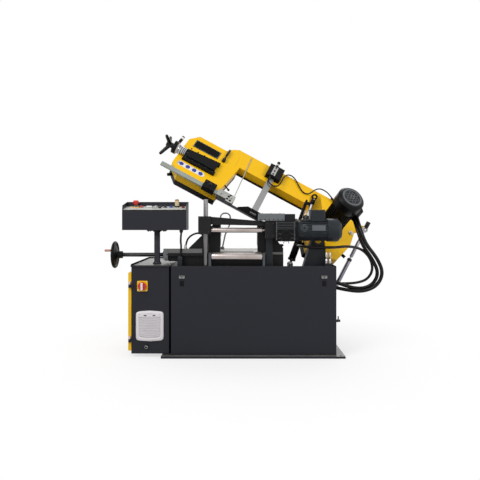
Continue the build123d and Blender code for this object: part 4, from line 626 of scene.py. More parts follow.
def barrel(width: float, height: float, bulge: float = 9.0, count: int = 120) -> list[Pair]:
    """Outline with straight sides, soft corners and bulging top and bottom edges.

    Args:
        width: Full width.
        height: Full height, with the bulges.
        bulge: Rise of the top edge's middle over its ends.
        count: Number of points.

    Returns:
        Pairs of x and y.
    """
    outline = []
    for place in round_places(count, 1.0):
        across, rise = [math.copysign(abs(value) ** 0.16, value) for value in place]
        crown = bulge * (1 - across * across) * math.copysign(abs(rise) ** 3, rise)
        outline.append((across * width / 2, rise * (height / 2 - bulge) + crown))
    return outline


@dataclass
class Piece:
    """Mesh in the making that becomes one object in one finish, riding on one body."""

    name: str
    finish: Finish
    body: str = "base"
    stands_for: tuple[str, ...] = ()
    bm: bmesh.types.BMesh = field(default_factory=bmesh.new)
    made: ClassVar[list["Piece"]] = []

    def __post_init__(self) -> None:
        """Puts the piece among those that are settled at the end."""
        Piece.made.append(self)

    def skin(self, rows: Sequence[Sequence[Vector]], capped: bool = False) -> None:
        """Adds faces between closed loops of points.

        Args:
            rows: Loops in metres, with the same count each, or a single point.
            capped: Whether the first and last loops are closed by a face.
        """
        rings = [[self.bm.verts.new(point) for point in row] for row in rows]
        sides = max(len(ring) for ring in rings)
        for low, high in zip(rings, rings[1:]):
            for step in range(sides):
                after = (step + 1) % sides
                corners = [low[step % len(low)], low[after % len(low)]]
                corners += [high[after % len(high)], high[step % len(high)]]
                corners = list(dict.fromkeys(corners))
                if len(corners) > 2:
                    self.bm.faces.new(corners)
        if capped:
            self.bm.faces.new(rings[0])
            self.bm.faces.new(rings[-1])

    def turned(self, place: Matrix, profile: Profile, sides: int = 32) -> None:
        """Adds a turned shape.

        Args:
            place: Placement, with the axis along local z.
            profile: Radius and height of each point, from bottom to top.
            sides: Number of sides round the axis.
        """
        rows = []
        for radius, height in profile:
            ring = round_places(sides, radius) if radius else [(0.0, 0.0)]
            rows.append([place @ (Vector((x, y, height)) * MM) for x, y in ring])
        self.skin(rows)

    def layers(self, place: Matrix, outlines: Sequence[tuple[Profile, float]]) -> None:
        """Adds a closed shape over flat outlines, each at its height."""
        rows = [[place @ (Vector((x, y, level)) * MM) for x, y in outline] for outline, level in outlines]
        self.skin(rows, capped=True)

    def block(self, place: Matrix, size: Point, edge: float = 1.0) -> None:
        """Adds a block with rounded edges.

        Args:
            place: Placement of its bottom centre.
            size: Length, width and height.
            edge: Width of the rounded edges.
        """
        part = bmesh.new()
        bmesh.ops.create_cube(part, size=1.0)
        lift = Matrix.Translation((0, 0, size[2] / 2 * MM))
        stretch = Matrix.Diagonal((*[length * MM for length in size], 1.0))
        bmesh.ops.transform(part, matrix=lift @ stretch, verts=part.verts)
        bmesh.ops.bevel(part, geom=part.edges[:], offset=edge * MM, segments=2, profile=0.7, affect="EDGES")
        bmesh.ops.transform(part, matrix=place, verts=part.verts)
        held = bpy.data.meshes.new("held")
        part.to_mesh(held)
        part.free()
        self.bm.from_mesh(held)
        bpy.data.meshes.remove(held)

    def tube(self, path: Sequence[Vector], radius: float, ripple: float = 0.0, sides: int = 10) -> None:
        """Adds a round bar along points.

        Args:
            path: Points in metres.
            radius: Radius in millimetres.
            ripple: Share by which the radius swells from ring to ring.
            sides: Number of sides.
        """
        rows = []
        side = (path[1] - path[0]).orthogonal()
        for number, point in enumerate(path):
            ahead = (path[min(number + 1, len(path) - 1)] - path[max(number - 1, 0)]).normalized()
            side = (side - ahead * side.dot(ahead)).normalized()
            other = ahead.cross(side)
            reach = radius * MM * (1 + ripple * math.sin(number * 1.9))
            rows.append([point + side * x + other * y for x, y in round_places(sides, reach)])
        self.skin(rows, capped=True)

    def bead(self, start: Vector, end: Vector, radius: float = 2.6) -> None:
        """Adds a weld bead between two points in metres."""
        count = max(2, int((end - start).length / MM / 6))
        self.tube([start.lerp(end, step / count) for step in range(count + 1)], radius, ripple=0.18, sides=8)

    def hex_bolt(self, place: Matrix, across: float, height: float) -> None:
        """Adds a hexagon bolt head on a washer.

        Args:
            place: Placement on the seat.
            across: Width across the flats.
            height: Height of the head with its washer.
        """
        washer = 1.6
        half = across / math.sqrt(3)
        self.turned(place, [(0, 0), (across * 0.8, 0), (across * 0.8, washer), (0, washer)], 24)
        self.turned(place, [(half, washer), (half, height - 1), (half * 0.86, height), (0, height)], 6)

    def cap_screw(self, place: Matrix, radius: float, height: float) -> None:
        """Adds the head of a cap screw, with a round socket."""
        key, bottom = radius * 0.5, height * 0.45
        self.turned(place, [(0, 0), (radius, 0), (radius, height * 0.85), (radius * 0.82, height),
                            (key, height), (key, bottom), (0, bottom)], 24)

    def corner_screws(self, place: Matrix, reach: Pair, radius: float, height: float) -> None:
        """Adds a cap screw at each corner of a rectangle, given by half its length and width."""
        for across, rise in product((-reach[0], reach[0]), (-reach[1], reach[1])):
            self.cap_screw(shift(place, across, rise), radius, height)

    def settle(self) -> None:
        """Makes the object, lets it ride on its body and puts it in its nodes' place."""
        bmesh.ops.recalc_face_normals(self.bm, faces=self.bm.faces)
        mesh = bpy.data.meshes.new(self.name)
        self.bm.to_mesh(mesh)
        self.bm.free()
        mesh.shade_smooth()
        mesh.set_sharp_from_angle(angle=SMOOTH_ANGLE)
        mesh.materials.append(self.finish.material())
        shape = bpy.data.objects.new(self.name, mesh)
        bpy.context.scene.collection.objects.link(shape)
        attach(shape, self.body)
        if self.stands_for:
            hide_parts(*self.stands_for)


# Cables and hoses
@dataclass(frozen=True)
class FreeCord:
    """Cable or hose that hangs free, along a given route in millimetres."""

    node: str
    route: tuple[Point, ...]
    radius: float
    finish: Finish
    body: str
    lay: str = "loose"
    bends_with: str | None = None

    def spline(self, bevel: float) -> bpy.types.Object:
        """Curve through the route.

        Args:
            bevel: Radius of the curve's tube in metres, or 0 for a bare line.

        Returns:
            The curve object.
        """
        curve = bpy.data.curves.new(self.node + "_line", "CURVE")
        curve.dimensions = "3D"
        curve.resolution_u = 10
        curve.bevel_depth = bevel
        curve.bevel_resolution = 5
        curve.use_fill_caps = True
        line = curve.splines.new("NURBS")
        line.points.add(len(self.route) - 1)
        for point, place in zip(line.points, self.route):
            point.co = (*(Vector(place) * MM), 1.0)
        line.order_u = 3
        line.use_endpoint_u = True
        made = bpy.data.objects.new(self.node + "_sheath", curve)
        bpy.context.scene.collection.objects.link(made)
        return made

    def mesh(self, bevel: float) -> bpy.types.Mesh:
        """Mesh of the curve, which is removed again.

        Args:
            bevel: Radius of the curve's tube in metres, or 0 for a bare line.

        Returns:
            The mesh.
        """
        curve = self.spline(bevel)
        bpy.context.view_layer.update()
        graph = bpy.context.evaluated_depsgraph_get()
        made = bpy.data.meshes.new_from_object(curve.evaluated_get(graph))
        bpy.data.objects.remove(curve)
        return made

    def build(self) -> bpy.types.Object:
        """Returns:
            The cord's object.
        """
        path = [vert.co.copy() for vert in self.mesh(0.0).vertices]
        mesh = self.mesh(self.radius * MM)
        mesh.materials.clear()
        mesh.materials.append(self.finish.material())
        mesh.shade_smooth()
        mesh.set_sharp_from_angle(angle=SMOOTH_ANGLE)
        made = bpy.data.objects.new(self.node + "_sheath", mesh)
        bpy.context.scene.collection.objects.link(made)
        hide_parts(self.node)
        if self.bends_with:
            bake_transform(made)
        else:
            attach(made, self.body)
        return made


MOTOR_CABLE_OUTER = (
    (823, -125, 1035), (836, -186, 942), (868, -232, 828), (950, -234, 728), (1006, -214, 612),
    (968, -190, 508), (868, -165, 458), (748, -130, 462), (641, -100, 485))
MOTOR_CABLE_INNER = (
    (811, -94, 1012), (826, -156, 919), (853, -192, 814), (928, -190, 714), (980, -176, 606),
    (944, -158, 514), (858, -136, 474), (745, -116, 490), (641, -100, 532))
LIFT_HOSE = (
    (364, -65, 815), (364, -243, 812), (612, -227, 802), (728, -213, 815), (838, -196, 797), (919, -168, 720),
    (946, -140, 622), (908, -112, 546), (834, -84, 516), (742, -66, 508), (641, -60, 508))
CONSOLE_CABLE = ((-542, -272, 918), (-548, -276, 860), (-540, -271, 805), (-550, -272, 740))
VISE_HOSE = (
    (-512, -247, 797), (-508, -247, 850), (-478, -250, 894), (-425, -255, 918), (-384, -258, 910),
    (-355, -258, 880), (-341, -258, 835), (-336, -258, 740), (-336, -258, 596))
BOW_CABLE_ON_BOW = (
    (-640, 216, 108), (-640, 160, 110), (-620, 133, 111), (-589, 123, 112), (-557, 133, 112),
    (-538, 160, 110), (-531, 215, 106), (-530, 290, 102), (-514, 343, 98), (-472, 366, 92),
    (-422, 345, 88), (-375, 295, 85), (-332, 258, 84), (-290, 252, 86), (-258, 282, 95),
    (-240, 334, 104), (-200, 374, 110), (-140, 376, 110), (-95, 356, 106), (-52, 338, 98))
BOW_CABLE = tuple(tuple(BOW.at(*point) / MM) for point in BOW_CABLE_ON_BOW)

CORDS = (
    FreeCord("motor_cable_outer", MOTOR_CABLE_OUTER, 14.0, Shop.RUBBER, "base", "hanging", "bow"),
    FreeCord("motor_cable_inner", MOTOR_CABLE_INNER, 14.0, Shop.RUBBER, "base", "hanging", "bow"),
    FreeCord("lift_hose", LIFT_HOSE, 10.5, Shop.HOSE, "base", "hanging", "lift_barrel"),
    FreeCord("console_cable", CONSOLE_CABLE, 7.5, Shop.RUBBER, "base", "hanging"),
    FreeCord("vise_hose", VISE_HOSE, 7.0, Shop.HOSE, "base", "loose"),
    FreeCord("bow_cable", BOW_CABLE, 5.5, Shop.RUBBER, "bow", "loose"),
)


# Sub-assemblies
@dataclass
class BaseCabinet:
    """Base: seam strip, welds, latch keepers and the covers on its rear and right sides."""

    half_length: float = 617
    half_width: float = 360
    foot_top: float = 16
    latch_x: float = 527
    latch_z: float = 594
    latch_front: float = -367.3
    keeper_drop: float = 48
    keeper_size: Triple = (30, 42, 2.4)
    seam_x: float = -614
    seam_z: float = 350
    seam_size: Triple = (13, 642, 1.8)
    seam_bead: Triple = (2.4, 642, 3)
    louvre_pitch: float = 26
    louvre_size: Pair = (9, 6)
    cover_thick: float = 2.5
    cover_inset: float = 14
    rear_cover: Pair = (960, 380)
    right_cover: Pair = (300, 260)

    def seam(self) -> None:
        """Black rubber strip between the electrical cabinet and the front panel."""
        strip = Piece("cabinet_seam_strip", Shop.SEAM)
        place = MACHINE.seat((self.seam_x, -self.half_width, self.seam_z))
        strip.block(place, self.seam_size, 0.8)
        strip.block(shift(place, -self.seam_size[0] / 2, 0), self.seam_bead, 0.9)

    def welds(self) -> None:
        """Weld beads between the base and its foot plate."""
        beads = Piece("foot_weld_beads", Shop.CHARCOAL)
        height = self.foot_top + 1.0
        corners = [(-self.half_length, -self.half_width), (self.half_length, -self.half_width),
                   (self.half_length, self.half_width), (-self.half_length, self.half_width)]
        for start, end in zip(corners, corners[1:]):
            beads.bead(MACHINE.at(*start, height), MACHINE.at(*end, height))

    def keepers(self) -> None:
        """Keeper under each latch, and the lip that is pulled on the latch itself."""
        keepers = Piece("latch_keepers", Shop.BLACK)
        thick = self.keeper_size[2]
        for side, body in ((-1, "latch_left"), (1, "latch_right")):
            place = MACHINE.seat((side * self.latch_x, -self.half_width, self.latch_z - self.keeper_drop))
            keepers.block(place, self.keeper_size, 1.0)
            keepers.block(shift(place, 0, 6, thick), (18, 14, 6), 1.6)
            for rise in (-15, 17):
                keepers.cap_screw(shift(place, 0, rise, thick), 4.0, 2.5)
            lip = Piece(body + "_lip", Shop.DARK_STEEL, body)
            front = MACHINE.seat((side * self.latch_x, self.latch_front, self.latch_z))
            lip.block(shift(front, 0, 7), (34, 5, 2.6), 0.9)
            lip.cap_screw(shift(front, 0, -4), 4.2, 2.2)

    def louvred_cover(self, name: str, place: Matrix, size: Pair, louvres: int) -> None:
        """Screwed sheet cover with pressed louvres.

        Args:
            name: Name of the piece.
            place: Placement of its middle.
            size: Width and height.
            louvres: Number of louvres in each of its two columns.
        """
        cover = Piece(name, Shop.CHARCOAL)
        width, height = size
        cover.block(place, (width, height, self.cover_thick), 1.0)
        for column, number in product((-0.25, 0.25), range(louvres)):
            rise = (number - (louvres - 1) / 2) * self.louvre_pitch
            cover.block(shift(place, column * width, rise, 1.5), (width * 0.34, *self.louvre_size), 2.6)
        screws = Piece(name + "_screws", Shop.STEEL)
        reach, top = width / 2 - self.cover_inset, height / 2 - self.cover_inset
        for across, rise in product((-reach, 0, reach), (-top, top)):
            screws.cap_screw(shift(place, across, rise, self.cover_thick), 5.0, 3.0)

    def build(self) -> None:
        """Builds the base's details."""
        # Faces of the foot plate that look up get a paler grey: a painted highlight along its top edge.
        dress_part("foot_plate", Shop.TOP_GREY_AND_HIGHLIGHT, lambda at, out: out.z > 0.9, MACHINE)
        self.seam()
        self.welds()
        self.keepers()
        rear = MACHINE.seat((40, self.half_width, 300), Facing.BACK)
        self.louvred_cover("rear_service_cover", rear, self.rear_cover, 8)
        right = MACHINE.seat((self.half_length, 20, 210), Facing.RIGHT)
        self.louvred_cover("right_service_cover", right, self.right_cover, 5)


@dataclass
class ElectricalCabinet:
    """Electrical cabinet: filter grille, main switch, door furniture, top edge and post flange."""

    front: float = -360
    top: float = 681
    grille_x: float = -764
    grille_z: float = 232
    grille_size: Triple = (204, 226, 12)
    clip_x: float = 33
    clip_z: float = 78
    louvres: int = 12
    louvre_reach: float = 76
    louvre_span: Pair = (-78, 62)
    louvre_bend: Pair = (-9, 11)
    louvre_steps: int = 16
    louvre_section: Profile = ((-3.4, 8.2), (-3.4, 9.9), (2.4, 12), (3.2, 11.6), (2.2, 8.2))
    switch_x: float = -818
    switch_z: float = 527
    switch_face: float = -368
    switch_screws: Pair = (32, 32)
    knob_face: float = -400.6
    door_left: float = -924
    door_middle: float = 338
    door_rib_y: float = 275
    door_rib_z: float = 250
    lock_y: float = 318
    locks_z: Pair = (190, 486)
    post: Triple = (-728, -250, 693)
    post_bolts: float = 27
    units_right: float = -610
    plate_right: float = -706

    def grille_frame(self, place: Matrix) -> None:
        """Moulded frame with a rounded outline and a recessed field.

        Args:
            place: Placement of the grille's middle.
        """
        shell = Piece("filter_grille_frame", Shop.WHITE_PLASTIC, "base", ("filter_grille",))
        width, height, depth = self.grille_size
        steps = ((0.0, 0.0), (0.0, 5.0), (2.0, 9.5), (7.0, depth), (20.0, depth), (22.0, depth - 2.5))
        outlines = [(barrel(width - 2 * inset, height - 2 * inset), level) for inset, level in steps]
        shell.layers(place, outlines)
        shell.block(shift(place, 0, self.clip_z, depth - 3), (156, 20, 3), 1.2)

    def grille_louvres(self, place: Matrix) -> None:
        """Curved louvres, hanging at the top and rising at the bottom, over a filter mat, with painted shade
        in the two clip slots.

        Args:
            place: Placement of the grille's middle.
        """
        mat = Piece("filter_grille_mat", Shop.MAT)
        width, height, depth = self.grille_size
        field = barrel(width - 46, height - 46)
        mat.layers(place, [(field, depth - 5), (field, depth - 2.2)])
        blades = Piece("filter_grille_louvres", Shop.WHITE_PLASTIC)
        low, high = self.louvre_span
        hanging, rising = self.louvre_bend
        for number in range(self.louvres):
            share = number / (self.louvres - 1)
            middle = high + (low - high) * share
            bend = hanging + (rising - hanging) * share
            rows = []
            for step in range(self.louvre_steps + 1):
                side = 2 * step / self.louvre_steps - 1
                rise = middle + bend * side ** 2
                rows.append([place @ (Vector((side * self.louvre_reach, rise + y, z)) * MM)
                             for y, z in self.louvre_section])
            blades.skin(rows, capped=True)
        # Dark blocks over the two clip slots: painted shade of the slots' openings.
        slot_shade = Piece("filter_grille_slot_shade", Shop.PLASTIC)
        for across in (-self.clip_x, self.clip_x):
            slot_shade.block(shift(place, across, self.clip_z, depth - 0.6), (19, 6, 1.0), 0.4)
            slot_shade.block(shift(place, across, self.clip_z + 3.5, depth - 0.6), (22, 2.0, 1.4), 0.5)

    def switch(self) -> None:
        """Screws of the switch plate, and the white front of the knob's bar."""
        screws = Piece("switch_plate_screws", Shop.CHROME)
        place = MACHINE.seat((self.switch_x, self.switch_face, self.switch_z))
        screws.corner_screws(place, self.switch_screws, 3.4, 2.0)
        dress_part("switch_knob", Shop.WHITE,
                   lambda at, out: at.y < self.knob_face + 0.5 and out.y < -0.9, MACHINE)

    def door(self) -> None:
        """Hinge knuckles, locks and the pressed frame of the yellow door."""
        dress_part("cabinet_door", Shop.KNUCKLE, lambda at, out: at.y < self.front - 0.5, MACHINE)
        rib = Piece("cabinet_door_rib", Shop.YELLOW, "door")
        middle = MACHINE.seat((self.door_left, 0, self.door_middle), Facing.LEFT)
        for side in (-1, 1):
            rib.block(shift(middle, 0, side * self.door_rib_z), (560, 10, 3.0), 1.4)
            rib.block(shift(middle, side * self.door_rib_y, 0), (10, 490, 3.0), 1.4)
        locks = Piece("cabinet_door_locks", Shop.CHROME, "door")
        for rise in self.locks_z:
            place = MACHINE.seat((self.door_left, self.lock_y, rise), Facing.LEFT)
            locks.turned(place, [(0, 0), (15, 0), (15, 2.5), (12, 5), (9, 5), (9, 3), (0, 3)])
            locks.block(shift(place, 0, 0, 3), (4, 14, 2.5), 0.8)

    def top_edge(self) -> None:
        """Black rubber edge along the left and rear of the cabinet's top."""
        edge = Piece("cabinet_top_edge", Shop.SEAM)
        edge.block(MACHINE.seat((-897, -4, self.top), Facing.UP), (13, 726, 9), 2.0)
        edge.block(MACHINE.seat((-762, 352, self.top), Facing.UP), (270, 13, 9), 2.0)

    def flange(self) -> None:
        """Bolts round the console post's flange."""
        bolts = Piece("post_flange_bolts", Shop.DARK_STEEL)
        place = MACHINE.seat(self.post, Facing.UP)
        bolts.turned(place, [(23, 0), (29, 0), (27, 3.5), (23, 4)])
        for x, y in round_places(4, self.post_bolts, 45):
            bolts.hex_bolt(shift(place, x, y), 6.5, 6.0)

    def finishes(self) -> None:
        """Grey top, and the pale and black gear on the mounting plate inside."""
        dress_part("electrical_cabinet", Shop.TOP_GREY_AND_HIGHLIGHT,
                   lambda at, out: at.z > self.top - 9 and out.z > 0.9, MACHINE)
        dress_part("service_units", Shop.WHITE_PLASTIC, lambda at, out: at.x < self.units_right, MACHINE)
        dress_part("service_units", Shop.PLASTIC,
                   lambda at, out: at.x < self.plate_right and out.x < -0.9, MACHINE)

    def build(self) -> None:
        """Builds the cabinet's details."""
        place = MACHINE.seat((self.grille_x, self.front, self.grille_z))
        self.grille_frame(place)
        self.grille_louvres(place)
        self.switch()
        self.door()
        self.top_edge()
        self.flange()
        self.finishes()


@dataclass
class Console:
    """Operating console: bezels, lamps, display frame, screws and the post's plate."""

    buttons: Profile = ((-851, 92), (-742, 62), (-742, 116), (-705, 62), (-705, 116), (-623, 92), (-668, 92))
    bezel: Pair = (14, 17)
    stop: Pair = (-897, 124)
    stop_cone: float = 31
    display: Pair = (-790, 92)
    display_bars: tuple[Quad, ...] = (
        (0, 12.5, 52, 3), (0, -12.5, 52, 3), (24.5, 0, 3, 28), (-24.5, 0, 3, 28))
    lamp_x: float = -581
    small_lamp_x: float = -531
    span: Pair = (-977, -497)
    front: float = -330
    back: float = -165
    floor: float = 940
    lip_z: float = 1086
    screw_z: float = 962
    post: Pair = (-728, -250)
    plate_size: Triple = (140, 110, 6)

    def bezels(self) -> None:
        """Chrome ring round each button."""
        rings = Piece("button_bezels", Shop.CHROME)
        inner, outer = self.bezel
        for x, along in self.buttons:
            place = PANEL.seat((x, along, 0), Facing.UP)
            rings.turned(place, [(outer, 0), (outer, 1.6), (outer - 1.2, 2.6), (inner, 2.6), (inner, 0)])

    def screen(self) -> None:
        """Frame round the display and its pale glass."""
        border = Piece("display_frame", Shop.PLASTIC)
        x, along = self.display
        place = PANEL.seat((x, along, 5), Facing.UP)
        for across, rise, length, width in self.display_bars:
            border.block(shift(place, across, rise, -0.8), (length, width, 1.8), 0.5)
        hood = Piece("display_lens", Shop.DISPLAY)
        hood.layers(place, [([(-22, -10), (22, -10), (22, 10), (-22, 10)], -0.5),
                            ([(-22, -9.4), (22, -9.4), (22, 10), (-22, 10)], 7.0),
                            ([(-20.5, -8), (20.5, -8), (20.5, 8.6), (-20.5, 8.6)], 9.5)])
        dress_part("console_panel", Shop.DISPLAY,
                   lambda at, out: abs(at.x - x) < 27 and abs(at.y - along) < 15 and at.z > 4, PANEL)

    def stop_backing(self) -> None:
        """Bright cone under the emergency stop and the yellow disc round it."""
        x, along = self.stop
        dress_part("console_panel", Shop.LATCH,
                   lambda at, out: math.hypot(at.x - x, at.y - along) < self.stop_cone and at.z > 0.5, PANEL)
        ring = Piece("stop_backing_ring", Shop.YELLOW)
        place = PANEL.seat((x, along, 0), Facing.UP)
        ring.turned(place, [(27, 0), (37, 0), (37, 1.6), (36, 2.4), (27, 2.4)], 48)

    def lamps(self) -> None:
        """Tan cap on the signal lamp, dark collars and the dull red small lamp."""
        dress_part("signal_lamp", Shop.LENS_CAP,
                   lambda at, out: abs(at.x - self.lamp_x) < 20 and at.z > 52, PANEL)
        dress_part("signal_lamp", Shop.PLASTIC,
                   lambda at, out: abs(at.x - self.lamp_x) < 24 and at.z < 13, PANEL)
        dress_part("signal_lamp", Shop.DULL_RED, lambda at, out: at.x > self.small_lamp_x - 14, PANEL)

    def housing(self) -> None:
        """Dark lip under the panel, cheek screws and the plate on the post."""
        left, right = self.span
        middle = (left + right) / 2
        lip = Piece("console_lip", Shop.PLASTIC)
        lip.block(MACHINE.seat((middle, self.front + 1, self.lip_z)), (right - left - 8, 5, 1.6), 0.6)
        plate = Piece("console_post_plate", Shop.CHARCOAL)
        under = MACHINE.seat((*self.post, self.floor), Facing.DOWN)
        thick = self.plate_size[2]
        plate.block(under, self.plate_size, 1.5)
        plate.turned(shift(under, 0, 0, thick), [(36, 0), (30, 6), (24, 8), (23, 8)])
        for across, rise in product((-58, 58), (-43, 43)):
            plate.hex_bolt(shift(under, across, rise, thick), 10, 6)
        screws = Piece("console_cheek_screws", Shop.STEEL)
        for x, facing in ((left, Facing.LEFT), (right, Facing.RIGHT)):
            for back in (-305, -190):
                screws.cap_screw(MACHINE.seat((x, back, self.screw_z), facing), 5, 3)
        for x in (left + 40, middle, right - 40):
            screws.cap_screw(MACHINE.seat((x, self.back, self.screw_z), Facing.BACK), 5, 3)

    def build(self) -> None:
        """Builds the console's details."""
        self.bezels()
        self.screen()
        self.stop_backing()
        self.lamps()
        self.housing()


@dataclass
class Glands:
    """Cable glands, conduit, manifold and drain tap."""

    front_gland: Triple = (-788, -360, 78)
    exits: Profile = ((-100, 532), (-100, 485), (-60, 508))
    exit_face: float = 617
    deck: float = 574
    conduit: Pair = (-550, -272)
    conduit_top: float = 740
    conduit_radius: float = 20.5
    vise_gland: Pair = (-336, -258)
    console_gland: Pair = (-542, -272)
    console_floor: float = 940
    manifold: Pair = (576, -237)
    manifold_size: Triple = (56, 50, 111)
    manifold_tubes: float = 14
    drain: Triple = (617, -330, 264)

    def gland(self, piece: Piece, place: Matrix, outer: float, inner: float, height: float) -> None:
        """Adds a hexagon nut with a domed cap.

        Args:
            piece: Piece that it goes into.
            place: Placement on the wall.
            outer: Radius of the nut.
            inner: Radius of the cable hole.
            height: Height above the wall.
        """
        flange, middle = height * 0.12, height * 0.5
        bottom = height * 0.4
        piece.turned(place, [(0, 0), (outer, 0), (outer, flange), (outer * 0.9, flange)], 28)
        piece.turned(place, [(outer * 0.98, flange), (outer * 0.98, middle), (outer * 0.86, height * 0.55),
                             (outer * 0.8, height * 0.55)], 6)
        piece.turned(place, [(outer * 0.84, middle), (outer * 0.8, height * 0.82), (inner + 1.5, height),
                             (inner, height), (inner, bottom), (0, bottom)], 28)

    def glands(self) -> None:
        """Glands of the cables and hoses."""
        black = Piece("cable_gland_nuts", Shop.PLASTIC, "base", ("cable_glands",))
        for back, rise in self.exits:
            self.gland(black, MACHINE.seat((self.exit_face, back, rise), Facing.RIGHT), 19, 10.5, 24)
        self.gland(black, MACHINE.seat((*self.vise_gland, self.deck), Facing.UP), 19, 7, 22)
        self.gland(black, MACHINE.seat((*self.console_gland, self.console_floor), Facing.DOWN), 15, 7.5, 22)
        self.gland(black, MACHINE.seat(self.front_gland), 17, 9, 16)

    def cable_conduit(self) -> None:
        """Upright conduit that the console cable goes into."""
        conduit = Piece("cable_conduit", Shop.MOTOR)
        rise = self.conduit_top - self.deck
        outer = self.conduit_radius
        profile = [(0, 0), (25, 0), (25, 4), (outer, 5), (outer, rise - 30), (22, rise - 28), (22, rise - 8),
                   (19, rise), (8, rise), (8, rise - 12), (0, rise - 12)]
        conduit.turned(MACHINE.seat((*self.conduit, self.deck), Facing.UP), profile, 36)

    def reliefs(self) -> None:
        """Bright ring of the front gland, sleeves of the switch cable and fitting of the vise hose."""
        ring = Piece("front_gland_ring", Shop.STEEL)
        front = MACHINE.seat(self.front_gland)
        ring.turned(shift(front, 0, 0, 14), [(9, 0), (11.5, 0), (11.5, 1.6), (10.5, 2.6), (9, 2.6)], 36)
        sleeves = Piece("switch_cable_sleeves", Shop.PLASTIC, "bow")
        profile = [(0, 0), (11, 0), (11, 7), (9.5, 9), (7.2, 27), (6.1, 28), (6.1, 20), (0, 20)]
        for place in (BOW.seat((-640, 208, 108), Facing.DOWN), BOW.seat(BOW_CABLE_ON_BOW[-1], Facing.LEFT)):
            sleeves.turned(place, profile, 24)
        fitting = Piece("vise_hose_fitting", Shop.STEEL)
        place = MACHINE.seat(VISE_HOSE[0], Facing.UP)
        fitting.turned(place, [(0, 0), (12.5, 0), (12.5, 9), (11, 10.5), (7, 10.5)], 6)
        fitting.turned(place, [(10, 10), (9.5, 14), (8.6, 30), (7.2, 31)], 24)

    def valve_block(self) -> None:
        """Hydraulic manifold with its two capped tubes."""
        block = Piece("hydraulic_manifold", Shop.STAND)
        place = MACHINE.seat((*self.manifold, self.deck), Facing.UP)
        block.block(place, self.manifold_size, 2.0)
        tubes = Piece("manifold_ferrules", Shop.ROD)
        profile = [(0, 0), (9, 0), (9, 30), (7.6, 32), (7.6, 36), (9, 38), (9, 70), (7, 76), (7, 84), (0, 85)]
        for side in (-1, 1):
            top = shift(place, side * self.manifold_tubes, 0, self.manifold_size[2])
            tubes.turned(top, profile, 28)
            tubes.turned(top, [(9, 6), (11, 6), (11, 17), (9, 18)], 6)

    def tap(self) -> None:
        """Drain tap on the right side."""
        tap = Piece("drain_tap", Shop.DARK_STEEL)
        place = MACHINE.seat(self.drain, Facing.RIGHT)
        tap.turned(place, [(0, 0), (13, 0), (13, 5), (8, 6), (8, 26), (10, 27), (10, 33), (6, 34), (6, 20),
                           (0, 20)], 28)
        tap.turned(place, [(11.5, 9), (11.5, 20), (8, 21)], 6)
        x, y, z = self.drain
        lever = MACHINE.seat((x + 19, y, z + 8), Facing.UP)
        tap.turned(lever, [(0, 0), (5, 0), (5, 6), (4, 26), (0, 28)], 20)

    def build(self) -> None:
        """Builds glands, conduit, manifold and tap."""
        self.glands()
        self.cable_conduit()
        self.reliefs()
        self.valve_block()
        self.tap()


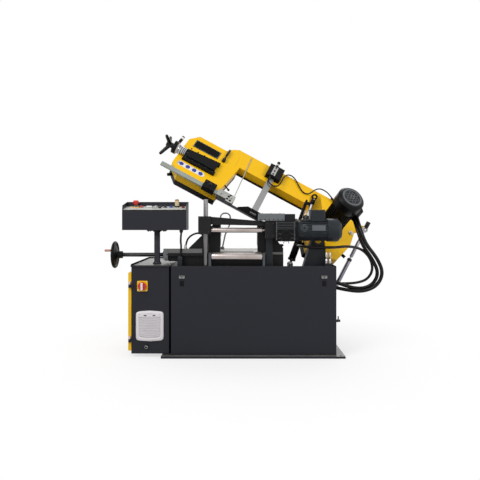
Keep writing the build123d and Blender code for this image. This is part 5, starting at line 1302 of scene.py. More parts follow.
@dataclass
class Vise:
    """Vise: machined ways, screw thread, jaw plates, knobs and bearing."""

    bed_top: float = 770
    bed_left: float = -342
    rail_front: float = -259
    rail_z: float = 754
    strip_front: float = -235
    strip_z: float = 761
    screw_y: float = -155
    screw_z: float = 745
    screw_radius: float = 16
    screw_span: Pair = (-1038, 29)
    thread_span: Pair = (-640, 20)
    thread_depth: float = 2.5
    pitch: float = 8
    bearing_face: float = -680
    collar: Pair = (-698, -680)
    collar_radius: float = 26
    jaw_faces: Pair = (-250, 39)
    jaw_y: Pair = (-225, -110)
    jaw_z: Pair = (800, 1006)
    foot_top: float = 800
    knob_y: float = -168
    plate_thick: float = 3
    knobs: tuple[tuple[float, str], ...] = ((-452, "jaw"), (225, "base"))
    grip_right: float = -1086

    def finishes(self) -> None:
        """Machined top of the bed, light gib rail, grey bearing and tan crank grip."""
        dress_part("vise_bed", Shop.BED,
                   lambda at, out: at.z > self.bed_top - 1 and out.z > 0.9 and at.x > self.bed_left, MACHINE)
        dress_part("vise_bed", Shop.GIB,
                   lambda at, out: at.y < self.strip_front - 1.5 and at.z > 742 and at.x < -383, MACHINE)
        dress_part("vise_bed", Shop.COVER_GREY, lambda at, out: at.x < -643 and at.y > -199, MACHINE)
        dress_part("handwheel", Shop.GRIP, lambda at, out: at.x < self.grip_right, MACHINE)

    def ways(self) -> None:
        """Skirt and end plate of the gib rail, and the light strips along the bed."""
        skirt = Piece("gib_rail_skirt", Shop.CASTING)
        skirt.block(MACHINE.seat((-532, self.rail_front, self.rail_z)), (292, 22, 2.4), 0.8)
        for step in range(5):
            skirt.cap_screw(MACHINE.seat((-652 + step * 60, self.rail_front - 2.4, self.rail_z)), 5, 4)
        cheek = Piece("gib_end_plate", Shop.COVER_GREY)
        place = MACHINE.seat((-663, self.rail_front - 2, self.rail_z - 2))
        cheek.block(place, (33, 76, 2.6), 1.0)
        for rise in (-26, 26):
            cheek.cap_screw(shift(place, 0, rise, 2.6), 5, 4)
        strip = Piece("bed_way_strip", Shop.BED)
        for x, length in ((166, 136), (-120, 370)):
            strip.block(MACHINE.seat((x, self.strip_front, self.strip_z)), (length, 18, 2.6), 0.8)

    def screw(self) -> None:
        """Leadscrew with a plain end, collar and rolled thread."""
        shaft = Piece("leadscrew_thread", Shop.DARK_STEEL, "screw", ("leadscrew",))
        start, end = self.screw_span
        full, rim = self.screw_radius, self.collar_radius
        root = full - self.thread_depth
        low, high = [place - start for place in self.collar]
        along, last = [place - start for place in self.thread_span]
        profile = [(0, 0), (full - 1, 0), (full, 1.5), (full, low), (rim - 1, low), (rim, low + 1.5),
                   (rim, high - 1.5), (rim - 1, high), (full, high), (full, along), (root, along + 2)]
        while along + self.pitch < last:
            profile += [(root, along + 3), (full, along + 4.2), (full, along + 6.8), (root, along + 8)]
            along += self.pitch
        profile += [(root, end - start - 4), (full - 4, end - start), (0, end - start)]
        shaft.turned(MACHINE.seat((start, self.screw_y, self.screw_z), Facing.RIGHT), profile, 28)

    def jaw_plates(self) -> None:
        """Thin hardened plates on both jaws, with their countersunk screws."""
        front, back = self.jaw_y
        low, high = self.jaw_z
        countersink = [(7, 0), (6.5, 0.2), (5, -0.6), (0, -0.6)]
        for x, facing, body, name in ((self.jaw_faces[0], Facing.RIGHT, "jaw", "moving_jaw_plate"),
                                      (self.jaw_faces[1], Facing.LEFT, "base", "fixed_jaw_plate")):
            plate = Piece(name, Shop.DARK_STEEL, body)
            place = MACHINE.seat((x, (front + back) / 2, (low + high) / 2 + 8), facing)
            plate.block(place, (back - front - 6, high - low - 24, self.plate_thick), 0.8)
            for across, rise in product((-36, 36), (-62, 0, 62)):
                plate.turned(shift(place, across, rise, self.plate_thick), countersink, 20)

    def jaw_knobs(self) -> None:
        """Black clamping knobs and screws on the jaw feet."""
        profile = [(0, 0), (7, 0), (7, 9), (14, 10), (17, 13), (17, 23), (13, 28), (0, 29.5)]
        for x, body in self.knobs:
            knob = Piece("foot_knob_on_" + body, Shop.PLASTIC, body)
            place = MACHINE.seat((x, self.knob_y, self.foot_top), Facing.UP)
            knob.turned(place, profile, 28)
            screws = Piece("foot_screws_on_" + body, Shop.DARK_STEEL, body)
            for offset in (-26, 26):
                screws.cap_screw(shift(place, -6, offset), 7, 7)

    def bearing(self) -> None:
        """Cover ring and screws of the screw bearing."""
        ring = Piece("screw_bearing_cover", Shop.DARK_STEEL)
        place = MACHINE.seat((self.bearing_face, self.screw_y, self.screw_z), Facing.LEFT)
        ring.turned(place, [(27.5, 0), (38, 0), (38, 4), (36, 6), (27.5, 6), (27.5, 0)], 36)
        for x, y in round_places(4, 33, 45):
            ring.cap_screw(shift(place, x, y, 5), 3.4, 4)

    def build(self) -> None:
        """Builds the vise's details."""
        self.finishes()
        self.ways()
        self.screw()
        self.jaw_plates()
        self.jaw_knobs()
        self.bearing()


def fan_grille(piece: Piece, place: Matrix, radius: float, height: float, hub: float = 0.0) -> None:
    """Adds a honeycomb of short bars within a ring.

    Args:
        piece: Piece that the grille goes into.
        place: Placement of its middle.
        radius: Outer radius.
        height: Height of the bars.
        hub: Radius that is kept free in the middle.
    """
    inner = radius - 4
    piece.turned(place, [(inner, 0), (radius, 0), (radius, height), (inner, height), (inner, 0)], 48)
    cell = radius / 4.7
    half = cell * 0.866
    reach = radius - 5 - cell * 0.4
    for row, column, turn in product(range(-8, 9), range(-8, 9), (30, 90, 150)):
        angle = math.radians(turn)
        x = column * cell * 1.5 + math.cos(angle) * half
        y = (row + 0.5 * (column % 2)) * cell * math.sqrt(3) + math.sin(angle) * half
        if hub < math.hypot(x, y) < reach:
            bar = shift(place, x, y) @ Matrix.Rotation(math.radians(turn + 90), 4, "Z")
            piece.block(bar, (cell * 1.08, 3.2, height * 0.8), 0.6)


@dataclass
class Feeder:
    """Bar feeder: bright column, cover screws, gear unit, motor plate and grille."""

    post_right: float = 92
    column_right: float = -334
    column_foot: float = 575
    cover_left: float = 39
    cover_right: float = 231.5
    cover_front: float = -382
    cover_bottom: float = 1010
    cover_top: float = 1064
    gear_front: float = -398
    gear_right: float = 330.5
    gear_cover: Pair = (242, 900)
    gear_middle: float = 237
    gear_flange: float = 66
    gear_z: Pair = (866, 1002)
    gear_webs: tuple[float, ...] = (165, 200, 225, 250, 290, 315, 340, 15)
    rib_z: float = 950
    rib_pitch: float = 12
    axis: Pair = (-330, 940)
    flange_face: float = 310
    motor_end: float = 655
    motor_radius: float = 80
    plate: Pair = (480, 957)
    boss: Pair = (376, 955)
    box: Triple = (477, -330, 1086)
    head_front: float = -371
    head_bolts: Profile = ((105, 990), (150, 990), (105, 900), (150, 900),
                           (-392, 928), (-392, 1028), (-330, 928), (-330, 1028))

    def finishes(self) -> None:
        """Grey roller post, bright column with painted dark reflection streaks, dark end block and black gear
        unit.
        """
        dress_part("roller_stands", Shop.POST, lambda at, out: at.x < self.post_right, MACHINE)
        dress_part("roller_stands", Shop.COLUMN,
                   lambda at, out: at.x < self.column_right and at.z > self.column_foot, MACHINE)
        dress_part("feed_cover", Shop.CASTING, lambda at, out: at.x > self.cover_right, MACHINE)
        dress_part("feed_gearmotor", Shop.BLACK, lambda at, out: at.x < self.gear_right, MACHINE)

    def cover_screws(self) -> None:
        """Rows of screws along the lower edge and on the top of the cover."""
        screws = Piece("feed_cover_screws", Shop.DARK_STEEL, "feed_head")
        for step in range(6):
            x = self.cover_left + 16 + step * 32
            screws.cap_screw(MACHINE.seat((x, self.cover_front, self.cover_bottom + 9)), 4.2, 2.6)
        for step in range(3):
            x = self.cover_left + 30 + step * 66
            screws.cap_screw(MACHINE.seat((x, -335, self.cover_top), Facing.UP), 4.2, 2.6)

    def gear_case(self) -> None:
        """Ribs, screwed flange edges and webs on the gear unit's casting, in a lighter grey as painted
        highlights, with pale screws as painted glints.
        """
        low, high = self.gear_z
        # Lighter grey ribs, edges and webs, and pale screw heads, paint highlights on the black casting.
        ribs = Piece("gear_unit_ribs", Shop.GEAR_CASE_HIGHLIGHT, "feed_head")
        heads = Piece("gear_unit_screws", Shop.GUARD_GREY_AND_HIGHLIGHT, "feed_head")
        face = MACHINE.seat((self.gear_middle, self.gear_front, 0))
        for step in range(5):
            rib = shift(face, 0, self.rib_z + step * self.rib_pitch)
            ribs.block(rib, (2 * self.gear_flange, 4.5, 8), 1.8)
        for side in (-1, 1):
            edge = shift(face, side * self.gear_flange, (low + high) / 2)
            ribs.block(edge, (9, high - low, 6), 2.2)
            for step in range(-2, 3):
                heads.cap_screw(shift(edge, 0, step * 30, 6), 3.6, 2.4)
        x, rise = self.gear_cover
        for turn in self.gear_webs:
            web = MACHINE.seat((x, self.gear_front, rise), Facing.FRONT, turn)
            ribs.block(shift(web, 50, 0), (20, 4.5, 6), 1.6)

    def gear_unit(self) -> None:
        """Round cover with its bolts, flange bolts and filler plug."""
        x, rise = self.gear_cover
        cap = Piece("gear_unit_cover", Shop.BLACK, "feed_head")
        place = MACHINE.seat((x, self.gear_front, rise))
        cap.turned(place, [(0, 0), (43, 0), (43, 3), (41, 4.5), (35, 4.5), (34, 8), (32, 9.5), (20, 9.5),
                           (18, 7), (9, 7), (8, 10.5), (0, 11)], 44)
        self.gear_case()
        bolts = Piece("gear_unit_bolts", Shop.DARK_STEEL, "feed_head")
        for across, up in round_places(6, 38.5, 30):
            bolts.cap_screw(shift(place, across, up, 4.0), 3.4, 3.4)
        for back, up in round_places(8, 76, 22.5):
            spot = MACHINE.seat((self.flange_face, self.axis[0] + back, self.axis[1] + up), Facing.LEFT)
            bolts.hex_bolt(spot, 9, 7)
        bolts.hex_bolt(MACHINE.seat((x, -310, 1010), Facing.UP), 15, 9)

    def motor(self) -> None:
        """Blank plate, boss with painted highlight rings, terminal box lid and fan grille of the feed motor.
        """
        side = self.axis[0] - self.motor_radius
        plate_x, plate_z = self.plate
        plate = Piece("feed_motor_plate", Shop.GUARD_GREY_AND_HIGHLIGHT, "feed_head")
        plate.block(MACHINE.seat((plate_x, side + 6, plate_z)), (98, 40, 8), 1.0)
        boss = Piece("feed_motor_boss", Shop.MOTOR, "feed_head")
        spot = MACHINE.seat((self.boss[0], side + 8, self.boss[1]))
        boss.turned(spot, [(0, 0), (24, 0), (24, 8), (21, 10), (12, 10), (11, 8.5), (0, 8.5)], 32)
        # Pale rings on the boss's outer and inner edges: painted highlights on the black boss.
        rim = Piece("feed_motor_boss_highlight_ring", Shop.GUARD_GREY_AND_HIGHLIGHT, "feed_head")
        rim.turned(spot, [(23.5, 2), (26, 2), (26, 7), (25, 8.5), (23.5, 8.5)], 36)
        rim.turned(spot, [(11, 8), (13, 10.6), (15, 10.6), (16, 9.5)], 30)
        lid = MACHINE.seat(self.box, Facing.UP)
        boss.block(lid, (113, 102, 4), 1.4)
        screws = Piece("feed_motor_screws", Shop.DARK_STEEL, "feed_head")
        screws.corner_screws(shift(lid, 0, 0, 4), (47, 42), 4.4, 3)
        for across in (-44, 44):
            screws.cap_screw(MACHINE.seat((plate_x + across, side - 1.5, plate_z)), 2.2, 1.4)
        end = MACHINE.seat((self.motor_end, *self.axis), Facing.RIGHT)
        fan_grille(Piece("feed_motor_grille", Shop.GUARD_GREY_AND_HIGHLIGHT, "feed_head"), shift(end, 0, 0, -1.2), 52, 2.2)

    def head_screws(self) -> None:
        """Cap screws on the sliding blocks."""
        screws = Piece("feed_head_screws", Shop.DARK_STEEL, "feed_head")
        for x, rise in self.head_bolts:
            screws.cap_screw(MACHINE.seat((x, self.head_front, rise)), 6, 5)

    def build(self) -> None:
        """Builds the feeder's details."""
        self.finishes()
        self.cover_screws()
        self.gear_unit()
        self.motor()
        self.head_screws()


@dataclass
class Blade:
    """Toothed band: round the idle wheel, twisted through the guides, round the drive wheel."""

    radius: float = 200.45
    width: float = 27
    thick: float = 0.9
    teeth: int = 380
    samples: int = 4
    gullet: float = 5
    tooth_set: float = 0.5
    twist: Profile = ((36, 0), (167, -25), (287, -50), (655, -50), (880, -25),
                      (1180, 0))

    def turn_at(self, from_idle: float) -> float:
        """Twist of the lower strand.

        Args:
            from_idle: Distance from the idle wheel.

        Returns:
            The twist in degrees.
        """
        last_place, last_turn = 0.0, 0.0
        for place, turn in self.twist:
            if from_idle <= place:
                share = (from_idle - last_place) / (place - last_place)
                smooth = share * share * (3 - 2 * share)
                return last_turn + (turn - last_turn) * smooth
            last_place, last_turn = place, turn
        return last_turn

    def station(self, along: float) -> tuple[Vector, Vector, Vector]:
        """Middle, outward direction and width direction at a length along the band.

        Args:
            along: Length from the lower strand's start at the idle wheel.

        Returns:
            The three, in the bow's own coordinates.
        """
        run = -IDLE_U
        arc = math.pi * self.radius
        if along < run:
            turn = math.radians(self.turn_at(along))
            out = Vector((0, -math.cos(turn), -math.sin(turn)))
            wide = Vector((0, -math.sin(turn), math.cos(turn)))
            return Vector((IDLE_U + along, -self.radius, 0)), out, wide
        along -= run
        flat = Vector((0, 0, 1))
        if along < arc:
            angle = along / self.radius - math.pi / 2
            out = Vector((math.cos(angle), math.sin(angle), 0))
            return out * self.radius, out, flat
        along -= arc
        if along < run:
            return Vector((-along, self.radius, 0)), Vector((0, 1, 0)), flat
        angle = (along - run) / self.radius + math.pi / 2
        out = Vector((math.cos(angle), math.sin(angle), 0))
        return Vector((IDLE_U, 0, 0)) + out * self.radius, out, flat

    def build(self) -> None:
        """Builds the band with set teeth, and a bright strip of ground teeth."""
        band = Piece("saw_band", Shop.BLUED, "bow", ("blade",))
        bright = Piece("saw_band_teeth", Shop.STEEL, "bow")
        whole = 2 * (-IDLE_U) + 2 * math.pi * self.radius
        count = self.teeth * self.samples
        half = self.width / 2
        back_rows, tooth_rows = [], []
        for number in range(count):
            middle, out, wide = self.station(whole * number / count)
            share = (number % self.samples) / self.samples
            tip = self.gullet * share if number % self.samples else 0.0
            lean = self.tooth_set * (1, 0, -1)[(number // self.samples) % 3]
            root = middle - wide * (half - self.gullet - 1)
            edge = middle - wide * (half - self.gullet + tip) + out * (lean * tip / self.gullet)
            thick = out * self.thick / 2
            heel = middle + wide * half
            back_rows.append([BOW.at(*p) for p in (heel + thick, root + thick, root - thick, heel - thick)])
            tooth_rows.append([BOW.at(*p) for p in (root + thick, edge + thick, edge - thick, root - thick)])
        band.skin(back_rows + back_rows[:1])
        bright.skin(tooth_rows + tooth_rows[:1])


@dataclass
class Bow:
    """Bow: plates and signs left bare, guideway screws, rear sheet, welds and cover pressings."""

    face: float = 75
    plate: Quad = (-1340, -1103, 123, 213)
    plate_thick: float = 3
    border_width: float = 1.6
    strip: Quad = (-1366, -1120, -140, -92)
    disc_start: float = -1331
    disc_pitch: float = 59
    disc_v: float = -116
    disc_radius: float = 19
    discs: int = 4
    way: Pair = (-1352, -1055)
    way_top: float = 100
    way_screws_v: Pair = (-57, 62)
    housing: Pair = (-1430, -1352)
    housing_radius: float = 38
    housing_rings: tuple[float, ...] = (16, 34, 52, 66)
    way_axis: float = 90
    switch_cap: Triple = (-1447.5, 112, 90)
    tail_pin: Pair = (190, 98)
    beam: Pair = (-905, -235)
    beam_v: Pair = (150, 355)
    cover_back: float = -70
    wheel_radius: float = 150
    weld_runs: tuple[Triple, ...] = ((-226, 166, 352), (-948, 166, 268))

    def on_strip(self, at: Vector) -> bool:
        """Whether a place lies on the strip under the guideway."""
        low, high, bottom, top = self.strip
        return low - 1 < at.x < high + 1 and bottom - 1 < at.y < top + 1 and at.z > self.face - 0.5

    def on_disc(self, at: Vector) -> bool:
        """Whether a place lies on one of the strip's discs."""
        places = [self.disc_start + step * self.disc_pitch for step in range(self.discs)]
        return any(math.hypot(at.x - place, at.y - self.disc_v) < self.disc_radius + 0.6 for place in places)

    def plates(self) -> None:
        """Blank name plate with a thin plain border, and the strip with plain blue discs."""
        low, high, bottom, top = self.plate
        dress_part("bow_plates", Shop.GLOSS_BLACK,
                   lambda at, out: low - 1 < at.x < high + 1 and bottom - 1 < at.y < top + 1
                   and at.z > self.face - 1, BOW)
        dress_part("bow_plates", Shop.WHITE, lambda at, out: self.on_strip(at), BOW)
        dress_part("bow_plates", Shop.SIGN_BLUE,
                   lambda at, out: self.on_strip(at) and self.on_disc(at) and at.z > self.face + 1.5, BOW)
        border = Piece("name_plate_border", Shop.STEEL, "bow")
        place = BOW.seat(((low + high) / 2, (bottom + top) / 2, self.face + self.plate_thick))
        wide, tall = high - low - 8, top - bottom - 8
        for side in (-1, 1):
            border.block(shift(place, 0, side * tall / 2, -0.4), (wide, self.border_width, 0.9), 0.3)
            border.block(shift(place, side * wide / 2, 0, -0.4), (self.border_width, tall, 0.9), 0.3)
        border.corner_screws(place, (wide / 2 - 7, tall / 2 - 7), 2.4, 1.2)

    def tension(self) -> None:
        """Bright spring housing with rings, white ring by the black flange, way screws."""
        low, high = self.housing
        pin_u, pin_v = self.tail_pin
        dress_part("bow_plates", Shop.ROD, lambda at, out: low - 0.5 < at.x < high + 0.5 and at.z > 50, BOW)
        dress_part("bow_plates", Shop.STEEL, lambda at, out: math.hypot(at.x - pin_u, at.y - pin_v) < 20, BOW)
        cap = Piece("tension_switch_cap", Shop.WHITE, "bow")
        cap.turned(BOW.seat(self.switch_cap, Facing.UP),
                   [(12.8, 0), (14.4, 1), (14.4, 22), (13.4, 24), (12.8, 24)], 28)
        rings = Piece("spring_housing_rings", Shop.PLASTIC, "bow")
        place = BOW.seat((low, 0, self.way_axis), Facing.RIGHT)
        inner = self.housing_radius - 0.5
        outer = self.housing_radius + 1.6
        for start in self.housing_rings:
            rings.turned(shift(place, 0, 0, start), [(inner, 0), (outer, 0.8), (outer, 5.2), (inner, 6)], 44)
        ring = Piece("spring_housing_white_ring", Shop.WHITE, "bow")
        rim = self.housing_radius + 5
        ring.turned(place, [(inner, 0.4), (rim, 0.4), (rim, 7), (rim - 2, 9), (inner, 9)], 44)
        screws = Piece("guideway_screws", Shop.DARK_STEEL, "bow")
        start, end = self.way
        for step, v in product(range(5), self.way_screws_v):
            u = start + 24 + step * (end - start - 48) / 4
            screws.cap_screw(BOW.seat((u, v, self.way_top)), 6.0, 5.0)

    def rear_sheet(self) -> None:
        """Black sheet with folded edges that closes the beam's back."""
        sheet = Piece("beam_rear_sheet", Shop.BLACK, "bow")
        low, high = self.beam
        bottom, top = self.beam_v
        middle = BOW.seat(((low + high) / 2, (bottom + top) / 2, -2), Facing.BACK)
        sheet.block(middle, (high - low, top - bottom, 3), 1.0)
        for rise in (-1, 1):
            sheet.block(shift(middle, 0, rise * ((top - bottom) / 2 - 3), 3), (high - low, 6, 9), 1.4)
        screws = Piece("beam_sheet_screws", Shop.STEEL, "bow")
        for step, rise in product(range(6), (-78, 78)):
            screws.cap_screw(shift(middle, (step - 2.5) * 120, rise, 3), 6, 4)

    def cover_pressings(self) -> None:
        """Pressed rings, hub caps and screws on the rear of both wheel covers."""
        press = Piece("wheel_cover_pressings", Shop.BLACK, "bow")
        screws = Piece("wheel_cover_screws", Shop.STEEL, "bow")
        for u in (IDLE_U, 0.0):
            place = BOW.seat((u, 0, self.cover_back), Facing.BACK)
            for radius in (self.wheel_radius, self.wheel_radius - 60):
                profile = [(radius - 8, -1), (radius - 5, 3), (radius + 5, 3), (radius + 8, -1)]
                press.turned(place, profile, 64)
            press.turned(place, [(0, -1), (34, -1), (34, 4), (28, 7), (0, 7)], 40)
            for x, y in round_places(6, 25):
                screws.cap_screw(shift(place, x, y, 6), 3.6, 3)
            for x, y in round_places(8, self.wheel_radius + 30, 22.5):
                screws.cap_screw(shift(place, x, y, -0.5), 6, 4)

    def welds(self) -> None:
        """Weld beads where the beam meets the wheel boxes."""
        beads = Piece("bow_weld_beads", Shop.YELLOW, "bow")
        for u, low, high in self.weld_runs:
            beads.bead(BOW.at(u, low, self.face), BOW.at(u, high, self.face), 2.2)

    def build(self) -> None:
        """Builds the bow's details."""
        self.plates()
        self.tension()
        self.rear_sheet()
        self.cover_pressings()
        self.welds()


@dataclass
class Guides:
    """Blade guides: bar clamp, silver cheek, arm clamp plate and shoe bolts."""

    bar_clamp: Triple = (-1032, -213, 127)
    bar_clamp_screws: float = 38
    cheek: Quad = (-868, -808, -278, -200)
    cheek_face: float = 115
    cheek_bolts: Profile = ((-860, -254), (-857, -226), (-833, -258), (-845, -208))
    clamp_plate: Quad = (-645, -606, 222, 332)
    clamp_face: float = 123
    ferrule: Triple = (-625, 376, 99)
    coolant_tube: Profile = ((-820, -150), (-855, 336))
    coolant_top: float = 86

    def left_guide(self) -> None:
        """Silver cheek block with dark bolts on the left guide head."""
        low, high, bottom, top = self.cheek
        cheek = Piece("left_guide_cheek", Shop.STEEL, "guide")
        place = BOW.seat(((low + high) / 2, (bottom + top) / 2, self.cheek_face - 17))
        cheek.block(place, (high - low, top - bottom, 19), 2.0)
        bolts = Piece("left_guide_bolts", Shop.BLACK, "guide")
        for u, v in self.cheek_bolts:
            bolts.hex_bolt(BOW.seat((u, v, self.cheek_face + 2)), 11.5, 5)

    def clamp(self) -> None:
        """Silver plate with screws on the arm clamp, and the bar clamp's screw."""
        low, high, bottom, top = self.clamp_plate
        plate = Piece("arm_clamp_plate", Shop.STEEL, "bow")
        place = BOW.seat(((low + high) / 2, (bottom + top) / 2, self.clamp_face))
        plate.block(place, (high - low, top - bottom, 4), 1.2)
        screws = Piece("arm_clamp_screws", Shop.DARK_STEEL, "bow")
        for rise in (-42, 0, 42):
            screws.cap_screw(shift(place, 0, rise, 4), 7, 6)
        ferrule = Piece("arm_clamp_ferrule", Shop.STEEL, "bow")
        ferrule.turned(BOW.seat(self.ferrule, Facing.UP),
                       [(7, 0), (11, 1), (12.5, 4), (12.5, 20), (9, 25), (7, 26)], 28)
        u, v, face = self.bar_clamp
        screws.hex_bolt(BOW.seat((u, v, face)), 19, 10)
        for side in (-1, 1):
            screws.cap_screw(BOW.seat((u + side * self.bar_clamp_screws, v + 8, face)), 7, 6)

    def on_tube(self, at: Vector) -> bool:
        """Whether a place lies on the thin coolant tube.

        Args:
            at: Place in the bow's own coordinates.

        Returns:
            True on the tube.
        """
        (low_u, low_v), (high_u, high_v) = self.coolant_tube
        share = (at.y - low_v) / (high_v - low_v)
        beside = abs(at.x - low_u - (high_u - low_u) * share)
        return -0.02 < share < 1.02 and beside < 6 and at.z < self.coolant_top

    def build(self) -> None:
        """Builds the guides' details."""
        dress_part("guide_blocks", Shop.STEEL, lambda at, out: self.on_tube(at), BOW)
        self.left_guide()
        self.clamp()


@dataclass
class DriveMotor:
    """Drive motor: fan end, terminal lid and gearbox bolts."""

    axis_u: float = -15
    fan_start: float = 425.5
    fan_face: float = 530
    flange_face: float = 91
    flange_bolts: float = 97
    box_turn: float = 30
    box_radial: float = 142
    box_span: Pair = (300, 424.7)

    def fan_end(self) -> None:
        """Dark grey fan cover with a pale ring, a honeycomb and a square centre."""
        dress_part("drive_gearmotor", Shop.FAN, lambda at, out: at.z > self.fan_start, BOW)
        dress_part("drive_gearmotor", Shop.PLASTIC, lambda at, out: at.z > self.fan_face - 0.5, BOW)
        place = BOW.seat((self.axis_u, 0, self.fan_face))
        ring = Piece("drive_fan_ring", Shop.GUARD_GREY_AND_HIGHLIGHT, "bow")
        profile = [(70, 0), (79, 0), (79, 1.6), (76, 2.4), (70, 2.4), (70, 0)]
        ring.turned(shift(place, 0, 0, -0.5), profile, 56)
        ring.block(shift(place, 0, 0, -0.4), (32, 32, 3.2), 1.4)
        badge = Piece("drive_fan_centre", Shop.PLASTIC, "bow")
        badge.block(shift(place, 0, 0, 2.2), (18, 18, 1.4), 0.5)
        fan_grille(Piece("drive_fan_grille", Shop.GUARD_GREY_AND_HIGHLIGHT, "bow"), shift(place, 0, 0, -0.8), 69, 2.4, hub=22)

    def bolts(self) -> None:
        """Bolts on the gearbox flange and round the gear case."""
        bolts = Piece("drive_gearbox_bolts", Shop.DARK_STEEL, "bow")
        place = BOW.seat((0, 0, self.flange_face))
        for x, y in round_places(8, self.flange_bolts, 22.5):
            bolts.hex_bolt(shift(place, x, y), 10, 7)

    def terminal_lid(self) -> None:
        """Lid with screws on the terminal box."""
        low, high = self.box_span
        centre = BOW.seat((self.axis_u, 0, (low + high) / 2), Facing.FRONT, self.box_turn)
        lid = Piece("drive_terminal_lid", Shop.DRIVE, "bow")
        outward = shift(centre, self.box_radial, 0) @ Matrix.Rotation(math.radians(90), 4, "Y")
        lid.block(outward, (high - low - 6, 92, 4), 1.4)
        lid.corner_screws(shift(outward, 0, 0, 4), (50, 38), 4.4, 3)

    def build(self) -> None:
        """Builds the motor's details."""
        self.fan_end()
        self.bolts()
        self.terminal_lid()


@dataclass
class LiftAndDamper:
    """Lift cylinder, damper and the pivot stand's bearing."""

    barrel_radius: float = 28
    barrel_length: float = 410
    rod_eye: float = 548
    rod_end: float = 512
    trip_x: float = -49
    trip_foot: float = 340
    trip_ribs: int = 21
    trip_pitch: float = 8
    clevis_right: float = 360
    tube_radius: float = 18
    tube_length: float = 430
    damper_eye: float = 709.8
    damper_pin: float = 10.6
    pivot: Triple = (506, -195, 860)

    def finishes(self) -> None:
        """Black rod eye and knob, bright clevis and damper pin."""
        dress_part("lift_rod", Shop.BLACK, lambda at, out: at.z > self.rod_eye, LIFT)
        dress_part("pivot_stand", Shop.CHROME, lambda at, out: at.x < self.clevis_right, MACHINE)
        dress_part("bow_frame", Shop.CHROME,
                   lambda at, out: math.hypot(at.x, at.z - self.damper_eye) < self.damper_pin and at.y < 20.5,
                   DAMPER)
        dress_part("damper_rod", Shop.PLASTIC, lambda at, out: at.z > self.damper_eye + 16, DAMPER)

    def lift(self) -> None:
        """End rings of the barrel, rod wiper and brass fitting."""
        rings = Piece("lift_barrel_rings", Shop.DARK_STEEL, "lift_barrel")
        inner, outer = self.barrel_radius - 1, self.barrel_radius + 4
        for start, length in ((34, 16), (self.barrel_length - 26, 24)):
            place = LIFT.seat((0, 0, start), Facing.UP)
            rings.turned(place, [(inner, 0), (outer, 1.5), (outer, length - 1.5), (inner, length)], 40)
        wiper = LIFT.seat((0, 0, self.barrel_length), Facing.UP)
        rings.turned(wiper, [(13.6, 0), (22, 0), (21, 4), (15, 7), (13.6, 7)], 36)
        self.trip_rod()
        brass = Piece("lift_hose_fitting", Shop.BRASS, "lift_barrel")
        x, y, z = LIFT_HOSE[0]
        place = MACHINE.seat((x, y + 22, z))
        brass.turned(place, [(0, 0), (14.6, 0), (14.6, 9), (13, 10)], 6)
        brass.turned(place, [(13, 10), (12.5, 16), (11.2, 22), (10.6, 22)], 28)

    def trip_rod(self) -> None:
        """Collar on the lift rod's end, its bracket and the ribbed trip rod beside it."""
        head = Piece("lift_rod_end", Shop.BLACK, "lift_rod")
        head.turned(LIFT.seat((0, 0, self.rod_end), Facing.UP),
                    [(13, 0), (17, 1), (19, 4), (19, 34), (15, 42), (13, 44)], 32)
        head.block(LIFT.seat((-24, 0, 495), Facing.UP), (70, 18, 27), 2.5)
        profile = [(0, 0), (11, 0)]
        for step in range(self.trip_ribs):
            rise = step * self.trip_pitch
            profile += [(11, rise + 4), (14, rise + 6), (14, rise + 10)]
        profile += [(8, 174), (8, 192), (5, 196), (0, 196)]
        head.turned(LIFT.seat((self.trip_x, 0, self.trip_foot), Facing.UP), profile, 24)

    def damper(self) -> None:
        """Collar on the damper tube, sleeve on its rod and ribbed knob beyond the eye."""
        collar = Piece("damper_collar", Shop.DARK_STEEL, "damper_tube")
        outer = self.tube_radius
        collar.turned(DAMPER.seat((0, 0, self.tube_length - 22), Facing.UP),
                      [(outer - 1, 0), (outer + 2.5, 1), (outer + 2.5, 20), (outer - 2, 23), (10, 24)], 32)
        sleeve = Piece("damper_sleeve", Shop.PIPE, "damper_rod")
        profile = [(9, 0), (14, 0), (15.5, 2), (15.5, 148), (13, 152), (13, 168), (15, 170), (15, 182),
                   (9, 184)]
        sleeve.turned(DAMPER.seat((0, 0, self.tube_length + 16), Facing.UP), profile, 32)
        knob = Piece("damper_knob_ribs", Shop.PLASTIC, "damper_rod")
        for step in range(4):
            place = DAMPER.seat((0, 0, self.damper_eye + 34 + step * 10), Facing.UP)
            knob.turned(place, [(17, 0), (19.5, 1), (19.5, 5), (17, 6)], 32)

    def bearing(self) -> None:
        """Bearing cover with screws on the pivot stand."""
        cover = Piece("pivot_bearing_cover", Shop.STAND)
        place = MACHINE.seat(self.pivot)
        cover.turned(place, [(26.5, 0), (46, 0), (46, 6), (43, 9), (26.5, 9), (26.5, 0)], 44)
        screws = Piece("pivot_bearing_screws", Shop.DARK_STEEL)
        for x, y in round_places(6, 37, 30):
            screws.cap_screw(shift(place, x, y, 8.5), 4.4, 4.5)

    def build(self) -> None:
        """Builds the lift's, damper's and pivot's details."""
        self.finishes()
        self.lift()
        self.damper()
        self.bearing()


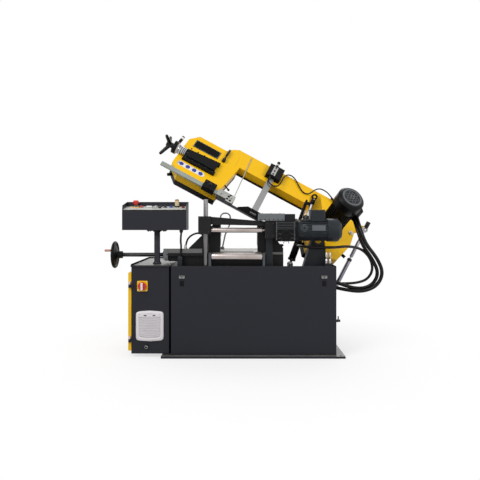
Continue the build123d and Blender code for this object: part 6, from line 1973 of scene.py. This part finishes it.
# Stage
@dataclass(frozen=True)
class Studio:
    """Pale floor, soft lamps and the camera at the photograph's viewing angle."""

    eye: Point = (-0.090, -4.060, 1.014)
    focal_pixels: float = 500
    image_pixels: float = 480
    centre_pixels: Pair = (240.9, 220.2)
    sensor: float = 36
    floor_reach: float = 30
    aim: Point = (0.0, 0.0, 0.8)

    def camera(self) -> None:
        """Adds the camera, level and square to the front."""
        data = bpy.data.cameras.new("photo_camera")
        data.sensor_width = self.sensor
        data.lens = self.focal_pixels / self.image_pixels * self.sensor
        data.shift_x = -(self.centre_pixels[0] - self.image_pixels / 2) / self.image_pixels
        data.shift_y = (self.centre_pixels[1] - self.image_pixels / 2) / self.image_pixels
        seen = bpy.data.objects.new("photo_camera", data)
        seen.location = self.eye
        seen.rotation_euler = (math.radians(90), 0, 0)
        bpy.context.scene.collection.objects.link(seen)
        bpy.context.scene.camera = seen

    def seen_rays(self, graph: Graph) -> Socket:
        """Mask of the rays that show the white background.

        Args:
            graph: Graph that the mask is used in.

        Returns:
            Socket that is 1 for those rays.
        """
        path = graph.add("ShaderNodeLightPath").outputs
        seen = graph.math("MAXIMUM", path["Is Camera Ray"], path["Is Transmission Ray"])
        return graph.math("MAXIMUM", seen, path["Is Glossy Ray"])

    def world(self) -> None:
        """White surroundings that light the object at a plain level."""
        world = bpy.data.worlds.new("studio_white")
        bpy.context.scene.world = world
        world.use_nodes = True
        graph = Graph(world.node_tree)
        world.node_tree.nodes.clear()
        soft = graph.add("ShaderNodeBackground", {"Color": (1.0, 1.0, 1.0, 1.0), "Strength": 0.55})
        white = graph.add("ShaderNodeBackground", {"Color": (1.0, 1.0, 1.0, 1.0), "Strength": 1.0})
        seen = self.seen_rays(graph)
        mixed = graph.add("ShaderNodeMixShader", {0: seen, 1: soft.outputs[0], 2: white.outputs[0]})
        graph.add("ShaderNodeOutputWorld", {"Surface": mixed.outputs[0]})

    def floor_material(self) -> bpy.types.Material:
        """Pale floor that keeps the shadow near the object and fades to white away from it.

        Returns:
            The floor's material.
        """
        made = bpy.data.materials.new("studio_floor")
        made.use_nodes = True
        made.node_tree.nodes.clear()
        graph = Graph(made.node_tree)
        place = graph.add("ShaderNodeTexCoord").outputs["Object"]
        away = graph.add("ShaderNodeVectorMath", {0: place}, operation="LENGTH").outputs["Value"]
        near_to_far = {"From Min": 0.7, "From Max": 1.7, "To Min": 0.62, "To Max": 1.0}
        fade = graph.add("ShaderNodeMapRange", {"Value": away, **near_to_far}).outputs[0]
        seen = self.seen_rays(graph)
        pale = graph.mix(graph.noise(30.0, 2.0), (0.95, 0.95, 0.95), (0.97, 0.97, 0.97))
        matt = graph.add("ShaderNodeBsdfDiffuse", {"Color": graph.mix(seen, (0.3, 0.3, 0.31), pale)})
        glow = graph.add("ShaderNodeEmission", {"Color": (1.0, 1.0, 1.0, 1.0), "Strength": 1.0})
        far = graph.math("MULTIPLY", fade, seen)
        mixed = graph.add("ShaderNodeMixShader", {0: far, 1: matt.outputs[0], 2: glow.outputs[0]})
        graph.add("ShaderNodeOutputMaterial", {"Surface": mixed.outputs[0]})
        return made

    def floor(self) -> None:
        """Adds the floor just under the foot plate."""
        mesh = bpy.data.meshes.new("floor")
        reach = self.floor_reach
        corners = [(-reach, -reach, 0), (reach, -reach, 0), (reach, reach, 0), (-reach, reach, 0)]
        mesh.from_pydata(corners, [], [(0, 1, 2, 3)])
        mesh.materials.append(self.floor_material())
        ground = bpy.data.objects.new("floor", mesh)
        ground.location.z = -0.0005
        bpy.context.scene.collection.objects.link(ground)

    def lamp(self, name: str, at: Point, size: float, power: float) -> None:
        """Adds a square soft lamp that looks at the machine.

        Args:
            name: Name of the lamp.
            at: Its place in metres.
            size: Length of its side in metres.
            power: Its power in watts.
        """
        data = bpy.data.lights.new(name, "AREA")
        data.size = size
        data.energy = power
        shone = bpy.data.objects.new(name, data)
        shone.location = at
        aim = Vector(self.aim) - Vector(at)
        shone.rotation_euler = aim.to_track_quat("-Z", "Y").to_euler()
        bpy.context.scene.collection.objects.link(shone)

    def build(self) -> None:
        """Sets up camera, surroundings, floor and lamps."""
        bpy.context.scene.view_settings.view_transform = "Standard"
        self.camera()
        self.world()
        self.floor()
        self.lamp("key_lamp", (-2.6, -3.0, 3.6), 2.2, 95.0)
        self.lamp("fill_lamp", (3.2, -2.6, 2.4), 2.4, 55.0)
        self.lamp("back_lamp", (0.5, 3.4, 3.2), 2.6, 60.0)


def main() -> None:
    """Builds the stage, the cords and the dressed machine."""
    logging.basicConfig(level=logging.INFO, format="%(name)s: %(message)s")
    Studio().build()
    for cord in CORDS:
        cord.build()
    for finish, edges in NODE_EDGES:
        for node, edge in edges.items():
            dress(node, finish, edge)
    assemblies = (BaseCabinet(), ElectricalCabinet(), Console(), Glands(), Vise(), Feeder(), Blade(), Bow(),
                  Guides(), DriveMotor(), LiftAndDamper())
    for assembly in assemblies:
        assembly.build()
    for piece in Piece.made:
        piece.settle()
        LOG.info("%s rides on %s", piece.name, piece.body)


if __name__ == "__main__":
    main()
